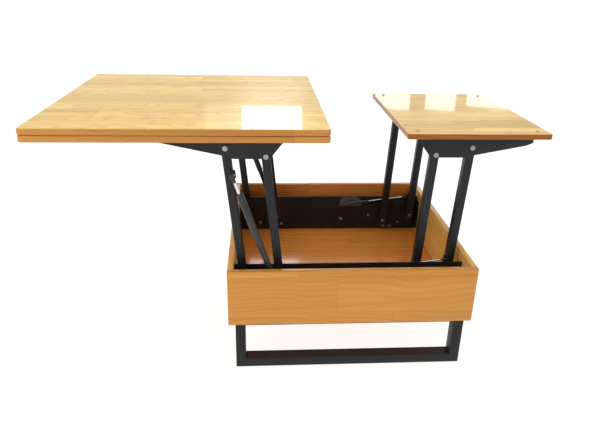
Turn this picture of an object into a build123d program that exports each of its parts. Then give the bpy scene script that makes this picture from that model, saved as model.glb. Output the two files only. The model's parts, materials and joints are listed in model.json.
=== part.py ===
"""Lift top coffee table with two rising tops over a storage box.

A square timber box stands on two steel leg frames. The large top is two leaves
thick and rises to the left on four steel arms, and its upper leaf unfolds to
the right. The small top rises to the right on four more arms and carries the
unfolded leaf. Four gas struts help the arms. The model is drawn raised.

Millimetres, +Z up, +X to the right, +Y to the back. The table is drawn about
the middle of its box and moved at the end, so that the origin is on the floor
under the middle of the raised table.
"""
import os
from math import asin, atan2, copysign, cos, degrees, hypot, radians, sin

from build123d import *


class StrutSize:
    """Sizes of one gas strut."""

    def __init__(self, radius, bore, rod, neck, eye, eye_width, pin):
        self.radius = radius
        self.bore = bore
        self.rod = rod
        self.neck = neck
        self.eye = eye
        self.eye_width = eye_width
        self.pin = pin


# --- Storage box ---------------------------------------------------------------
box_length = 750.0
box_width = 750.0
box_height = 182.0
wall = 18.0
floor_thickness = 17.0
corner_block = 18.0
corner_block_drop = 14.0

# --- Leg frames ----------------------------------------------------------------
leg_height = 160.0
leg_inset = wall + 3.0
leg_setback = 5.0
leg_tube_face = 30.0
leg_tube_depth = 40.0
leg_tube_wall = 2.0
leg_strap_thickness = 5.0
glide_height = 2.5
glide_radius = 11.0
glide_inset = 26.0
leg_screw_pitch = 190.0

# --- Tops ----------------------------------------------------------------------
top_overhang = 25.0
leaf_thickness = 18.0
leaf_gap = 0.6
leaf_edge_round = 3.5
top_corner_radius = 12.0
small_top_length = 425.0
small_top_thickness = 16.0
small_top_corner_radius = 6.0
small_top_edge_round = 1.5
small_top_shift = 14.5
bumper_height = 5.0
bumper_radius = 5.0
bumper_inset = 34.0
lid_gap = 0.5
rest_gap = 0.5
stow_gap = 1.0

# --- Lifting arms --------------------------------------------------------------
arm_section = 25.0
arm_wall = 2.0
arm_end = 12.5
plug_cap = 2.0
plug_depth = 10.0
left_arm_length = 445.0
left_raised_angle = 96.2
left_pivot_inset = 32.4
left_pivot_height = 79.0
left_pivot_pitch = 112.0
left_pivot_step = 24.0
left_pivot_drop = 37.9
right_arm_length = left_arm_length - 11.4
right_raised_angle = 87.1
right_pivot_inset = 36.0
right_pivot_height = 75.0
right_pivot_pitch = 106.5
right_pivot_step = 22.0

# --- Steel plates and brackets ---------------------------------------------------
side_plate_thickness = 3.0
side_plate_height = 141.0
side_plate_setback = 93.0
pivot_plate_thickness = 4.0
bracket_thickness = 3.0
bracket_flange = 25.0
bracket_heel = 8.0
tab_width = 35.0
tab_thickness = 3.0
tab_height = 115.0
standoff_x = 50.0
standoff_height = 44.0
standoff_radius = 8.0

# --- Fasteners and fits ------------------------------------------------------------
bolt_radius = 4.0
bolt_head_radius = 6.4
bolt_head_height = 4.0
nut_height = 4.2
nut_radius = 7.5
bush_radius = 6.0
bush_flange_radius = 9.0
bush_flange_height = 1.8
running_fit = 0.05
turning_gap = 0.3
arm_side_gap = 2.5
screw_radius = 2.0
screw_head_radius = 4.5
screw_head_height = 2.0
screw_length = 12.0
small_bolt_radius = 3.0
small_bolt_head_radius = 5.5
small_bolt_head_height = 3.0

# --- Gas struts --------------------------------------------------------------------
strut_base_cap = 14.0
strut_gland_length = 6.0
strut_end_length = 26.0
rod_tip_room = 18.0
piston_length = 8.0
stub_head_height = 2.0
lug_thickness = 3.5
lug_gap = 0.4
lug_margin = 9.5
left_lug_along = left_arm_length - 77.0
left_lug_offset = 10.0
left_lug_reach = 12.0
right_lug_reach = 20.0
right_lug_along = 69.0
right_lug_offset = -14.0
right_cylinder_length = 96.0
right_anchor_offset = 259.0
right_anchor_height = 113.0
bare_rod_length = 30.0
sleeve_wall = 1.2
sleeve_gap = 0.4
sleeve_cap = 3.0
sleeve_lap = 10.0
mount_thickness = 3.0
mount_length = 86.0
mount_height = 37.0
mount_anchor_inset = 20.0
mount_top_gap = 1.5
mount_top_radius = 24.0
mount_cap_height = 1.5

# --- Leaf hinges -------------------------------------------------------------------
hinge_axis_out = 1.2
hinge_barrel_radius = 3.2
hinge_pin_radius = 1.5
hinge_length = 60.0
hinge_pitch = 290.0
hinge_plate_thickness = 1.5
hinge_plate_height = 13.0
hinge_pocket_gap = 0.5
hinge_knuckle_gap = 0.3

left_strut = StrutSize(radius=9.0, bore=7.5, rod=4.0, neck=5.0, eye=8.0, eye_width=10.0, pin=bolt_radius)
right_strut = StrutSize(radius=5.4, bore=4.3, rod=2.5, neck=3.5, eye=6.0, eye_width=7.0, pin=3.0)

# --- Levels, worked out upwards from the floor ----------------------------------------
half_length = box_length / 2
half_width = box_width / 2
inner_half_length = half_length - wall
inner_half_width = half_width - wall
box_top = leg_height + box_height
floor_top = leg_height + floor_thickness
leg_top = leg_height - leg_strap_thickness
plate_top = floor_top + side_plate_height

# --- Layers, as depths from the outer face of the front or back wall -----------------
plate_outer = side_plate_setback
plate_inner = plate_outer + side_plate_thickness
left_pivot_plate_outer = plate_outer - pivot_plate_thickness
left_arm_inner = left_pivot_plate_outer - 4.0
left_arm_outer = left_arm_inner - arm_section
left_bracket_inner = left_arm_outer - arm_side_gap
left_bracket_outer = left_bracket_inner - bracket_thickness
left_lug_outer = left_arm_outer - lug_thickness
sleeve_bore = left_strut.radius + sleeve_gap
sleeve_radius = sleeve_bore + sleeve_wall
left_strut_depth = left_bracket_outer - bolt_head_height - 1.0 - sleeve_radius
right_pivot_plate_inner = plate_inner + pivot_plate_thickness
right_strut_depth = right_pivot_plate_inner + 0.8 + right_strut.radius
right_lug_outer = right_strut_depth + right_strut.eye_width / 2 + 0.8
right_arm_outer = right_lug_outer + lug_thickness
right_arm_inner = right_arm_outer + arm_section
right_bracket_inner = right_arm_outer - bush_flange_height - turning_gap
right_bracket_outer = right_bracket_inner - bracket_thickness
small_top_setback = left_arm_inner + turning_gap + nut_height + 1.5


def turned(pivot, length, angle):
    """Point at a length from a pivot, at an angle from +X towards +Z."""
    return (pivot[0] + length * cos(radians(angle)), pivot[1] + length * sin(radians(angle)))


def on_arm(pivot, angle, along, offset):
    """Point on an arm: along it from its lower pivot, and offset to its right."""
    x, z = turned(pivot, along, angle)
    return turned((x, z), offset, angle - 90)


def span(start, end):
    """Length and angle of the line from one point to another in the X-Z plane."""
    dx, dz = end[0] - start[0], end[1] - start[1]
    return hypot(dx, dz), degrees(atan2(dz, dx))


# --- Left lift: lower pivots, raised and closed ----------------------------------------
left_outer_low = (-inner_half_length + left_pivot_inset, floor_top + left_pivot_height)
left_inner_low = (left_outer_low[0] + left_pivot_pitch, left_outer_low[1] - left_pivot_step)
left_outer_high = turned(left_outer_low, left_arm_length, left_raised_angle)
left_inner_high = turned(left_inner_low, left_arm_length, left_raised_angle)
leaf_underside = left_outer_high[1] + left_pivot_drop
closed_underside = box_top + lid_gap
left_closed_rise = closed_underside - left_pivot_drop - left_outer_low[1]
left_closed_angle = degrees(asin(left_closed_rise / left_arm_length))
left_travel = left_raised_angle - left_closed_angle
left_shift = turned(left_outer_low, left_arm_length, left_closed_angle)[0] - left_outer_high[0]

# --- Large top: two leaves, over the box when closed ------------------------------------
top_length = box_length + 2 * top_overhang
top_width = box_width + 2 * top_overhang
top_left = -left_shift - top_length / 2
top_right = top_left + top_length
lower_leaf_top = leaf_underside + leaf_thickness
upper_leaf_bottom = lower_leaf_top + leaf_gap
upper_leaf_top = upper_leaf_bottom + leaf_thickness
hinge_axis = (top_right + hinge_axis_out, lower_leaf_top + leaf_gap / 2)

# --- Right lift: the small top stops just under the unfolded leaf -------------------------
right_outer_low = (inner_half_length - right_pivot_inset, floor_top + right_pivot_height)
right_inner_low = (right_outer_low[0] - right_pivot_pitch, right_outer_low[1] - right_pivot_step)
right_outer_high = turned(right_outer_low, right_arm_length, right_raised_angle)
right_inner_high = turned(right_inner_low, right_arm_length, right_raised_angle)
small_top_top = leaf_underside - rest_gap - bumper_height
small_top_underside = small_top_top - small_top_thickness
small_top_mid = right_outer_high[0] + small_top_shift
small_top_width = box_width - 2 * small_top_setback
right_pivot_drop = small_top_underside - right_outer_high[1]
right_closed_underside = closed_underside - stow_gap - bumper_height - small_top_thickness
right_closed_rise = right_closed_underside - right_pivot_drop - right_outer_low[1]
right_closed_angle = 180 - degrees(asin(right_closed_rise / right_arm_length))
right_travel = right_closed_angle - right_raised_angle

# --- Gas struts, raised and closed --------------------------------------------------------
left_lug = on_arm(left_outer_low, left_raised_angle, left_lug_along, left_lug_offset)
left_lug_closed = on_arm(left_outer_low, left_closed_angle, left_lug_along, left_lug_offset)
left_strut_length, left_strut_angle = span(left_inner_low, left_lug)
left_strut_closed_length, left_strut_closed_angle = span(left_inner_low, left_lug_closed)
left_cylinder_length = left_strut_closed_length - strut_end_length - bare_rod_length - sleeve_cap - 1.5
right_anchor = (right_outer_low[0] - right_anchor_offset, floor_top + right_anchor_height)
right_lug = on_arm(right_outer_low, right_raised_angle, right_lug_along, right_lug_offset)
right_lug_closed = on_arm(right_outer_low, right_closed_angle, right_lug_along, right_lug_offset)
right_strut_length, right_strut_angle = span(right_anchor, right_lug)
right_strut_closed_length, right_strut_closed_angle = span(right_anchor, right_lug_closed)

# --- Origin: on the floor, under the middle of the raised table -----------------------------
small_top_right = small_top_mid + small_top_length / 2
origin_x = (top_left + small_top_right) / 2

FRONT, BACK = -1, 1
SIDES = (FRONT, BACK)
nodes = {}


def add(name, *solids):
    """Keep one named node, made of one or more separate solids."""
    nodes[name] = list(solids)


def layer(sketch, near, far, side):
    """Extrude an X-Z sketch between two depths from the wall's outer face."""
    near_y, far_y = side * (half_width - near), side * (half_width - far)
    start, end = max(near_y, far_y), min(near_y, far_y)
    return extrude(Plane.XZ.offset(-start) * sketch, amount=start - end)


def plate(points, near, far, side):
    """Flat plate with the given X-Z outline."""
    return layer(make_face(Polyline(*points, close=True)), near, far, side)


def disc(point, near, far, radius, side):
    """Round bar along Y at an X-Z point."""
    return layer(Pos(point[0], point[1]) * Circle(radius), near, far, side)


def ring(point, near, far, radius, bore, side):
    """Tube along Y at an X-Z point."""
    return disc(point, near, far, radius, side) - disc(point, near, far, bore, side)


def nut(point, near, far, side):
    """Hexagon nut on a pivot bolt."""
    hexagon = Pos(point[0], point[1]) * RegularPolygon(nut_radius, 6)
    return layer(hexagon, near, far, side) - disc(point, near, far, bolt_radius, side)


def domed_bolt(point, seat, tip, side, shank=bolt_radius, head=bolt_head_radius, height=bolt_head_height):
    """Bolt whose domed head stands on the seat, with its shank running to the tip."""
    out = seat - height if tip > seat else seat + height
    cap = disc(point, min(seat, out), max(seat, out), head, side)
    outer_y = side * (half_width - out)
    rim = cap.edges().filter_by(GeomType.CIRCLE).sort_by(lambda edge: abs(edge.center().Y - outer_y))[0]
    cap = fillet(rim, height * 0.6)
    return cap + disc(point, min(seat, tip), max(seat, tip), shank, side)


def block(x_low, x_high, y_low, y_high, z_low, z_high):
    """Box between two corners."""
    size = (x_high - x_low, y_high - y_low, z_high - z_low)
    centre = ((x_low + x_high) / 2, (y_low + y_high) / 2, (z_low + z_high) / 2)
    return Pos(*centre) * Box(*size)


def upright_screw(x, y, seat, length=screw_length):
    """Wood screw pointing up, with its head under the seat level."""
    head = Pos(x, y, seat - screw_head_height / 2) * Cylinder(screw_head_radius, screw_head_height)
    return head + Pos(x, y, seat + length / 2) * Cylinder(screw_radius, length)


def build_box():
    """Four walls, a floor panel and the blocks that tie the corners."""
    for name, side in (("front_panel", FRONT), ("back_panel", BACK)):
        near, far = sorted((side * inner_half_width, side * half_width))
        add(name, block(-half_length, half_length, near, far, leg_height, box_top))
    for name, side in (("left_panel", -1), ("right_panel", 1)):
        near, far = sorted((side * inner_half_length, side * half_length))
        add(name, block(near, far, -inner_half_width, inner_half_width, leg_height, box_top))
    add("floor_panel", block(-inner_half_length, inner_half_length, -inner_half_width, inner_half_width,
                             leg_height, floor_top))
    blocks = []
    for end in (-1, 1):
        for side in SIDES:
            x_near, x_far = sorted((end * inner_half_length, end * (inner_half_length - corner_block)))
            y_near, y_far = sorted((side * inner_half_width, side * (inner_half_width - corner_block)))
            blocks.append(block(x_near, x_far, y_near, y_far, floor_top, box_top - corner_block_drop))
    add("corner_blocks", *blocks)


def build_legs():
    """Two hollow U frames, their top straps, screws and floor glides."""
    outer = half_length - leg_inset
    inner = outer - leg_tube_face
    hollow = leg_tube_wall
    straps, screws, glides = [], [], []
    for name, side in (("front_leg_frame", FRONT), ("back_leg_frame", BACK)):
        near, far = leg_setback, leg_setback + leg_tube_depth
        bar_top = glide_height + leg_tube_face
        outline = ((-outer, glide_height), (outer, glide_height), (outer, leg_top), (inner, leg_top),
                   (inner, bar_top), (-inner, bar_top), (-inner, leg_top), (-outer, leg_top))
        cavity = ((-outer + hollow, glide_height + hollow), (outer - hollow, glide_height + hollow),
                  (outer - hollow, leg_top), (inner + hollow, leg_top),
                  (inner + hollow, bar_top - hollow), (-inner - hollow, bar_top - hollow),
                  (-inner - hollow, leg_top), (-outer + hollow, leg_top))
        add(name, plate(outline, near, far, side) - plate(cavity, near + hollow, far - hollow, side))
        strap = plate(((-outer, leg_top), (outer, leg_top), (outer, leg_height), (-outer, leg_height)),
                      near, far, side)
        screw_y = side * (half_width - (wall + leg_setback + leg_tube_depth) / 2)
        for step in (-1, 0, 1):
            screw = upright_screw(step * leg_screw_pitch, screw_y, leg_top)
            strap -= screw
            screws.append(screw)
        straps.append(strap)
        for end in (-1, 1):
            spot = (end * (outer - glide_inset), side * (half_width - (near + far) / 2), glide_height / 2)
            glides.append(Pos(*spot) * Cylinder(glide_radius, glide_height))
    add("leg_straps", *straps)
    add("leg_screws", *screws)
    add("foot_glides", *glides)


def left_plate_bolt_points():
    """Small bolts that hold a left pivot plate."""
    outer_x, inner_x, floor_line = left_outer_low[0], left_inner_low[0], floor_top
    return ((outer_x + 48, floor_line + 29), (outer_x - 4, floor_line + 24), (inner_x + 20, floor_line + 24))


def right_plate_bolt_points():
    """Small bolts that hold a right pivot plate."""
    outer_x, inner_x, floor_line = right_outer_low[0], right_inner_low[0], floor_top
    return ((inner_x - 54, floor_line + 61), (outer_x - 37, floor_line + 29),
            (inner_x + 11, floor_line + 12), (inner_x + 37, floor_line + 12))


def build_side_plates():
    """Long steel plates that carry every lower pivot, with their tabs and standoffs."""
    tabs, tab_screws, standoffs, bolts, small_bolts = [], [], [], [], []
    left_plates, right_plates = [], []
    standoff = (standoff_x, floor_top + standoff_height)
    low_pivots = (left_outer_low, left_inner_low, right_outer_low, right_inner_low)
    for name, side in (("front_side_plate", FRONT), ("back_side_plate", BACK)):
        body = plate(((-inner_half_length, floor_top), (inner_half_length, floor_top),
                      (inner_half_length, plate_top), (-inner_half_length, plate_top)),
                     plate_outer, plate_inner, side)
        for point in low_pivots + (standoff,):
            body -= disc(point, plate_outer, plate_inner, bolt_radius, side)
        for point in left_plate_bolt_points() + right_plate_bolt_points():
            body -= disc(point, plate_outer, plate_inner, small_bolt_radius, side)
        add(name, body)
        left_plates.append(left_pivot_plate(side))
        right_plates.append(right_pivot_plate(side))
        for point in left_plate_bolt_points():
            small_bolts.append(domed_bolt(point, plate_inner, left_pivot_plate_outer, side, small_bolt_radius,
                                          small_bolt_head_radius, small_bolt_head_height))
        for point in right_plate_bolt_points():
            small_bolts.append(domed_bolt(point, right_pivot_plate_inner, plate_outer, side, small_bolt_radius,
                                          small_bolt_head_radius, small_bolt_head_height))
        standoffs.append(ring(standoff, wall, plate_outer, standoff_radius, bolt_radius, side))
        bolts.append(domed_bolt(standoff, plate_inner, wall, side))
        for end in (-1, 1):
            wall_x = end * inner_half_length
            tab_x = wall_x - end * tab_thickness
            low = floor_top + (side_plate_height - tab_height) / 2
            near, far = sorted((wall_x, tab_x))
            outline = ((near, low), (far, low), (far, low + tab_height), (near, low + tab_height))
            tab = plate(outline, plate_inner, plate_inner + tab_width, side)
            for level in (0.2, 0.8):
                spot = Pos(tab_x, side * (half_width - plate_inner - tab_width * 0.6), low + tab_height * level)
                pointing = Rot(0, 90 * end, 0)
                head = pointing * Pos(0, 0, -screw_head_height / 2)
                shank = pointing * Pos(0, 0, screw_length / 2)
                screw = spot * (head * Cylinder(screw_head_radius, screw_head_height)
                                + shank * Cylinder(screw_radius, screw_length))
                tab -= screw
                tab_screws.append(screw)
            tabs.append(tab)
    add("plate_end_tabs", *tabs)
    add("tab_screws", *tab_screws)
    add("plate_standoffs", *standoffs)
    add("standoff_bolts", *bolts)
    add("left_pivot_plates", *left_plates)
    add("right_pivot_plates", *right_plates)
    add("pivot_plate_bolts", *small_bolts)


def left_pivot_plate(side):
    """Doubler behind the two left lower pivots, on the plate's outer face."""
    low, high = floor_top + 4, left_outer_low[1] + 30
    west, east = left_outer_low[0] - 20, left_inner_low[0] + 32
    outline = ((west, low), (east, low), (east, high - 34), (east - 30, high), (west, high))
    body = plate(outline, left_pivot_plate_outer, plate_outer, side)
    for point in (left_outer_low, left_inner_low):
        body -= disc(point, left_pivot_plate_outer, plate_outer, bolt_radius, side)
    for point in left_plate_bolt_points():
        body -= disc(point, left_pivot_plate_outer, plate_outer, small_bolt_radius, side)
    return body


def right_pivot_plate(side):
    """Stepped doubler under the two right lower pivots, on the plate's inner face."""
    low, high = floor_top + 4, right_outer_low[1] + 60
    west, east = right_inner_low[0] - 76, right_outer_low[0] + 17
    shoulder = right_inner_low[1] + 56
    outline = ((west, low), (east, low), (east, high), (east - 54, high), (east - 76, shoulder),
               (west + 22, shoulder), (west, shoulder - 18))
    body = plate(outline, plate_inner, right_pivot_plate_inner, side)
    for point in (right_outer_low, right_inner_low):
        body -= disc(point, plate_inner, right_pivot_plate_inner, bolt_radius, side)
    for point in right_plate_bolt_points():
        body -= disc(point, plate_inner, right_pivot_plate_inner, small_bolt_radius, side)
    return body


def build_lower_pivots():
    """Bolts, nuts and spacers of the eight lower pivots."""
    bolts, spacers = [], []
    strut_far = left_strut_depth - left_strut.eye_width / 2 - turning_gap
    strut_near = left_strut_depth + left_strut.eye_width / 2 + turning_gap
    left_nut = left_arm_outer - turning_gap
    right_nut = right_arm_inner + turning_gap
    for side in SIDES:
        bolts.append(domed_bolt(left_outer_low, plate_inner, left_nut - nut_height, side))
        bolts.append(nut(left_outer_low, left_nut - nut_height, left_nut, side))
        bolts.append(domed_bolt(left_inner_low, plate_inner, strut_far - nut_height, side))
        bolts.append(nut(left_inner_low, strut_far - nut_height, strut_far, side))
        spacers.append(ring(left_inner_low, strut_near, left_nut, left_strut.eye, bolt_radius, side))
        for point in (left_outer_low, left_inner_low):
            spacers.append(ring(point, left_arm_inner + bush_flange_height + turning_gap,
                                left_pivot_plate_outer, bush_flange_radius, bolt_radius, side))
        for point in (right_outer_low, right_inner_low):
            bolts.append(domed_bolt(point, plate_outer, right_nut + nut_height, side))
            bolts.append(nut(point, right_nut, right_nut + nut_height, side))
            spacers.append(ring(point, right_pivot_plate_inner,
                                right_arm_outer - bush_flange_height - turning_gap,
                                bush_flange_radius, bolt_radius, side))
    add("lower_pivot_bolts", *bolts)
    add("lower_pivot_spacers", *spacers)


def arm_outline(pivot, angle, length, half, overrun):
    """Rectangle around an arm, as X-Z points."""
    corners = ((-overrun, -half), (length + overrun, -half), (length + overrun, half), (-overrun, half))
    return tuple(on_arm(pivot, angle, along, offset) for along, offset in corners)


def arm_bush(point, near, far, flange, side):
    """Flanged bush in an arm, whose flange ends at a depth outside the arm."""
    edge = near if flange < near else far
    body = disc(point, near, far, bush_radius, side)
    body += disc(point, min(edge, flange), max(edge, flange), bush_flange_radius, side)
    return body - disc(point, min(near, flange), max(far, flange), bolt_radius + running_fit, side)


def arm_plug(pivot, angle, start, reach, near, far, side):
    """End plug of an arm: a cap outside the tube and a core inside it."""
    half, core_half = arm_section / 2, arm_section / 2 - arm_wall
    cap_end = start - reach * plug_cap
    core_end = start + reach * (arm_end - bush_radius - 0.5)
    cap = [on_arm(pivot, angle, along, offset) for along, offset in (
        (cap_end, -half), (start, -half), (start, half), (cap_end, half))]
    core = [on_arm(pivot, angle, along, offset) for along, offset in (
        (start, -core_half), (core_end, -core_half), (core_end, core_half), (start, core_half))]
    return plate(cap, near, far, side) + plate(core, near + arm_wall, far - arm_wall, side)


def build_arms(name, pivot, angle, length, near, far, low_flange, high_flange, lug=None):
    """Front and back arm of one pair, with end plugs and pivot bushes.

    The flanges are the depths of the faces that turn against their neighbours.
    """
    high = turned(pivot, length, angle)
    half = arm_section / 2
    plugs, bushes = [], []
    for word, side in (("front", FRONT), ("back", BACK)):
        tube = plate(arm_outline(pivot, angle, length, half, arm_end), near, far, side)
        cavity = arm_outline(pivot, angle, length, half - arm_wall, arm_end)
        tube -= plate(cavity, near + arm_wall, far - arm_wall, side)
        for point, flange in ((pivot, low_flange), (high, high_flange)):
            tube -= disc(point, near, far, bush_radius, side)
            bushes.append(arm_bush(point, near, far, flange, side))
        if lug:
            tube += lug(side)
        for start, reach in ((-arm_end, 1), (length + arm_end, -1)):
            plugs.append(arm_plug(pivot, angle, start, reach, near, far, side))
        add(f"{word}_{name}_arm", tube)
    add(f"{name}_arm_plugs", *plugs)
    add(f"{name}_arm_bushes", *bushes)


def lug_outline(pivot, angle, along, offset, reach):
    """Lug that narrows from an arm to a strut's pivot."""
    root = copysign(4, offset)
    tip = offset + copysign(lug_margin, offset)
    corners = ((along - reach - 12, root), (along + reach, root), (along + 11, tip), (along - 11, tip))
    return [on_arm(pivot, angle, place, across) for place, across in corners]


def left_strut_lug(side):
    """Lug on the outer face of a left outer arm, for the strut's rod."""
    outline = lug_outline(left_outer_low, left_raised_angle, left_lug_along, left_lug_offset, left_lug_reach)
    return plate(outline, left_lug_outer, left_arm_outer, side)


def right_strut_lug(side):
    """Lug on the outer face of a right outer arm, for the strut's rod."""
    outline = lug_outline(right_outer_low, right_raised_angle, right_lug_along, right_lug_offset, right_lug_reach)
    return plate(outline, right_lug_outer, right_arm_outer, side)


def build_all_arms():
    """Eight arms: outer and inner, left and right, front and back."""
    left_low, left_high = left_arm_inner + bush_flange_height, left_arm_outer - bush_flange_height
    right_flange = right_arm_outer - bush_flange_height
    for name, pivot, lug in (("left_outer", left_outer_low, left_strut_lug),
                             ("left_inner", left_inner_low, None)):
        build_arms(name, pivot, left_raised_angle, left_arm_length, left_arm_outer, left_arm_inner,
                   left_low, left_high, lug)
    for name, pivot, lug in (("right_outer", right_outer_low, right_strut_lug),
                             ("right_inner", right_inner_low, None)):
        build_arms(name, pivot, right_raised_angle, right_arm_length, right_arm_outer, right_arm_inner,
                   right_flange, right_flange, lug)


def rounded_board(x_low, x_high, width, z_low, z_high, corner, edge_round):
    """Table leaf with rounded corners and softened edges."""
    outline = RectangleRounded(x_high - x_low, width, corner)
    board = extrude(Pos((x_low + x_high) / 2, 0, z_low) * outline, amount=z_high - z_low)
    flat_edges = [edge for edge in board.edges() if abs(edge.center().Z - z_low) < 0.01
                  or abs(edge.center().Z - z_high) < 0.01]
    return fillet(flat_edges, edge_round)


def hinge_positions():
    """Middles of the leaf hinges along Y."""
    return (-hinge_pitch, 0, hinge_pitch)


def barrel(y_low, y_high, radius):
    """Round bar along Y on the leaf hinge's axis."""
    spot = Pos(hinge_axis[0], (y_low + y_high) / 2, hinge_axis[1])
    return spot * Rot(90, 0, 0) * Cylinder(radius, y_high - y_low)


def hinge_plate(middle, low, high):
    """Flat plate of a leaf hinge, let into the leaf's edge."""
    return block(top_right - hinge_plate_thickness, top_right, middle - hinge_length / 2,
                 middle + hinge_length / 2, low, high)


def build_leaves():
    """Lower and upper leaf, with pockets for the hinges on their right edge."""
    lower = rounded_board(top_left, top_right, top_width, leaf_underside, lower_leaf_top,
                          top_corner_radius, leaf_edge_round)
    upper = rounded_board(top_left, top_right, top_width, upper_leaf_bottom, upper_leaf_top,
                          top_corner_radius, leaf_edge_round)
    fixed, flaps, pins = [], [], []
    third = hinge_length / 3
    pocket = hinge_barrel_radius + hinge_pocket_gap
    for middle in hinge_positions():
        start = middle - hinge_length / 2
        cut = barrel(start - hinge_pocket_gap, start + hinge_length + hinge_pocket_gap, pocket)
        low_plate = hinge_plate(middle, lower_leaf_top - hinge_plate_height, lower_leaf_top)
        high_plate = hinge_plate(middle, upper_leaf_bottom, upper_leaf_bottom + hinge_plate_height)
        lower = lower - cut - low_plate
        upper = upper - cut - high_plate
        bore = barrel(start, start + hinge_length, hinge_pin_radius + running_fit)
        middle_room = barrel(start + third - hinge_knuckle_gap, start + 2 * third + hinge_knuckle_gap, pocket)
        end_rooms = [barrel(start - 1, start + third, pocket),
                     barrel(start + 2 * third, start + hinge_length + 1, pocket)]
        outer_knuckles = barrel(start, start + third - hinge_knuckle_gap, hinge_barrel_radius)
        outer_knuckles += barrel(start + 2 * third + hinge_knuckle_gap, start + hinge_length,
                                 hinge_barrel_radius)
        fixed.append((low_plate - middle_room) + outer_knuckles - bore)
        flap = high_plate
        for room in end_rooms:
            flap -= room
        flaps.append(flap + barrel(start + third, start + 2 * third, hinge_barrel_radius) - bore)
        pins.append(barrel(start, start + hinge_length, hinge_pin_radius))
    add("lower_leaf", lower)
    add("upper_leaf", upper)
    add("leaf_hinge_plates", *fixed)
    add("leaf_hinge_flaps", *flaps)
    add("leaf_hinge_pins", *pins)


def bracket(outline, holes, near, far, flange_near, flange_far, underside, ends, side):
    """Bracket plate with a flange under the top, drilled for two pivot bolts."""
    body = plate(outline, near, far, side)
    for point in holes:
        body -= disc(point, near, far, bolt_radius, side)
    low = underside - bracket_thickness
    flange = ((ends[0], low), (ends[1], low), (ends[1], underside), (ends[0], underside))
    return body + plate(flange, flange_near, flange_far, side)


def flange_screws(ends, near, far, underside, count, side):
    """Row of wood screws through a bracket's flange."""
    y = side * (half_width - (near + far) / 2)
    margin = 16
    pitch = (ends[1] - ends[0] - 2 * margin) / (count - 1)
    return [upright_screw(ends[0] + margin + step * pitch, y, underside - bracket_thickness)
            for step in range(count)]


def build_left_bracket_set():
    """Brackets, pivot bolts and screws under the large top."""
    x, z = left_outer_high
    inner_x, inner_z = left_inner_high
    heel = inner_z - bracket_heel + 2
    tip, back = x - 227, inner_x + 65
    outline = ((tip, leaf_underside), (tip, leaf_underside - 12), (x - 8, z - 21), (x + 22, heel - 0.5),
               (inner_x + 11, heel - 0.5), (back, leaf_underside))
    screws, bolts = [], []
    for name, side in (("front_left_bracket", FRONT), ("back_left_bracket", BACK)):
        flange_near = left_bracket_outer - bracket_flange
        body = bracket(outline, (left_outer_high, left_inner_high), left_bracket_outer, left_bracket_inner,
                       flange_near, left_bracket_outer, leaf_underside, (tip, back), side)
        for screw in flange_screws((tip, back), flange_near, left_bracket_outer, leaf_underside, 5, side):
            body -= screw
            screws.append(screw)
        add(name, body)
        for point in (left_outer_high, left_inner_high):
            nut_at = left_arm_inner + turning_gap
            bolts.append(domed_bolt(point, left_bracket_outer, nut_at + nut_height, side))
            bolts.append(nut(point, nut_at, nut_at + nut_height, side))
    add("left_bracket_screws", *screws)
    add("left_top_pivot_bolts", *bolts)


def build_right_top():
    """Small top with its brackets, pivot bolts, screws and clear bumpers."""
    half = small_top_length / 2
    board = rounded_board(small_top_mid - half, small_top_mid + half, small_top_width, small_top_underside,
                          small_top_top, small_top_corner_radius, small_top_edge_round)
    add("small_top", board)
    bumpers = []
    for end in (-1, 1):
        for side in SIDES:
            x = small_top_mid + end * (half - bumper_inset)
            y = side * (small_top_width / 2 - bumper_inset)
            bumper = Pos(x, y, small_top_top + bumper_height / 2) * Cylinder(bumper_radius, bumper_height)
            bumpers.append(fillet(bumper.edges().sort_by(Axis.Z)[-1], bumper_radius * 0.5))
    add("top_bumpers", *bumpers)
    x, z = right_outer_high
    inner_x, inner_z = right_inner_high
    heel = inner_z - bracket_heel
    tip, back = x + 180, inner_x - 60
    low_tip = small_top_underside - 15
    outline = ((back, small_top_underside), (inner_x - 15, heel), (x - 26, heel), (x + 8, heel + 7),
               (tip - 19, low_tip - 8), (tip, low_tip), (tip, small_top_underside))
    screws, bolts = [], []
    for name, side in (("front_right_bracket", FRONT), ("back_right_bracket", BACK)):
        flange_far = right_bracket_inner + bracket_flange
        body = bracket(outline, (right_outer_high, right_inner_high), right_bracket_outer, right_bracket_inner,
                       right_bracket_inner, flange_far, small_top_underside, (back, tip), side)
        for screw in flange_screws((back, tip), right_bracket_inner, flange_far, small_top_underside, 4, side):
            body -= screw
            screws.append(screw)
        add(name, body)
        for point in (right_outer_high, right_inner_high):
            nut_at = right_arm_inner + turning_gap
            bolts.append(domed_bolt(point, right_bracket_outer, nut_at + nut_height, side))
            bolts.append(nut(point, nut_at, nut_at + nut_height, side))
    add("right_bracket_screws", *screws)
    add("right_top_pivot_bolts", *bolts)


def rod_along(start, end, radius):
    """Round bar along local +X between two distances."""
    return Pos((start + end) / 2, 0, 0) * Rot(0, 90, 0) * Cylinder(radius, end - start)


def strut_cylinder(size, length):
    """Hollow cylinder with its eye at the anchor, drawn along +X."""
    eye = Rot(90, 0, 0) * Cylinder(size.eye, size.eye_width)
    body = rod_along(0, strut_base_cap, size.neck) + eye
    body += rod_along(strut_base_cap - 4, length, size.radius)
    body -= rod_along(strut_base_cap, length, size.bore)
    return body - Rot(90, 0, 0) * Cylinder(size.pin + running_fit, size.eye_width)


def strut_gland(size, length):
    """Seal that closes the cylinder round the rod."""
    start = length - strut_gland_length
    return rod_along(start, length, size.bore) - rod_along(start, length, size.rod + running_fit)


def strut_rod(size, tip, length):
    """Rod with its piston."""
    rod = rod_along(tip, length - size.eye - 2, size.rod)
    return rod + rod_along(tip, tip + piston_length, size.bore - running_fit)


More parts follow.
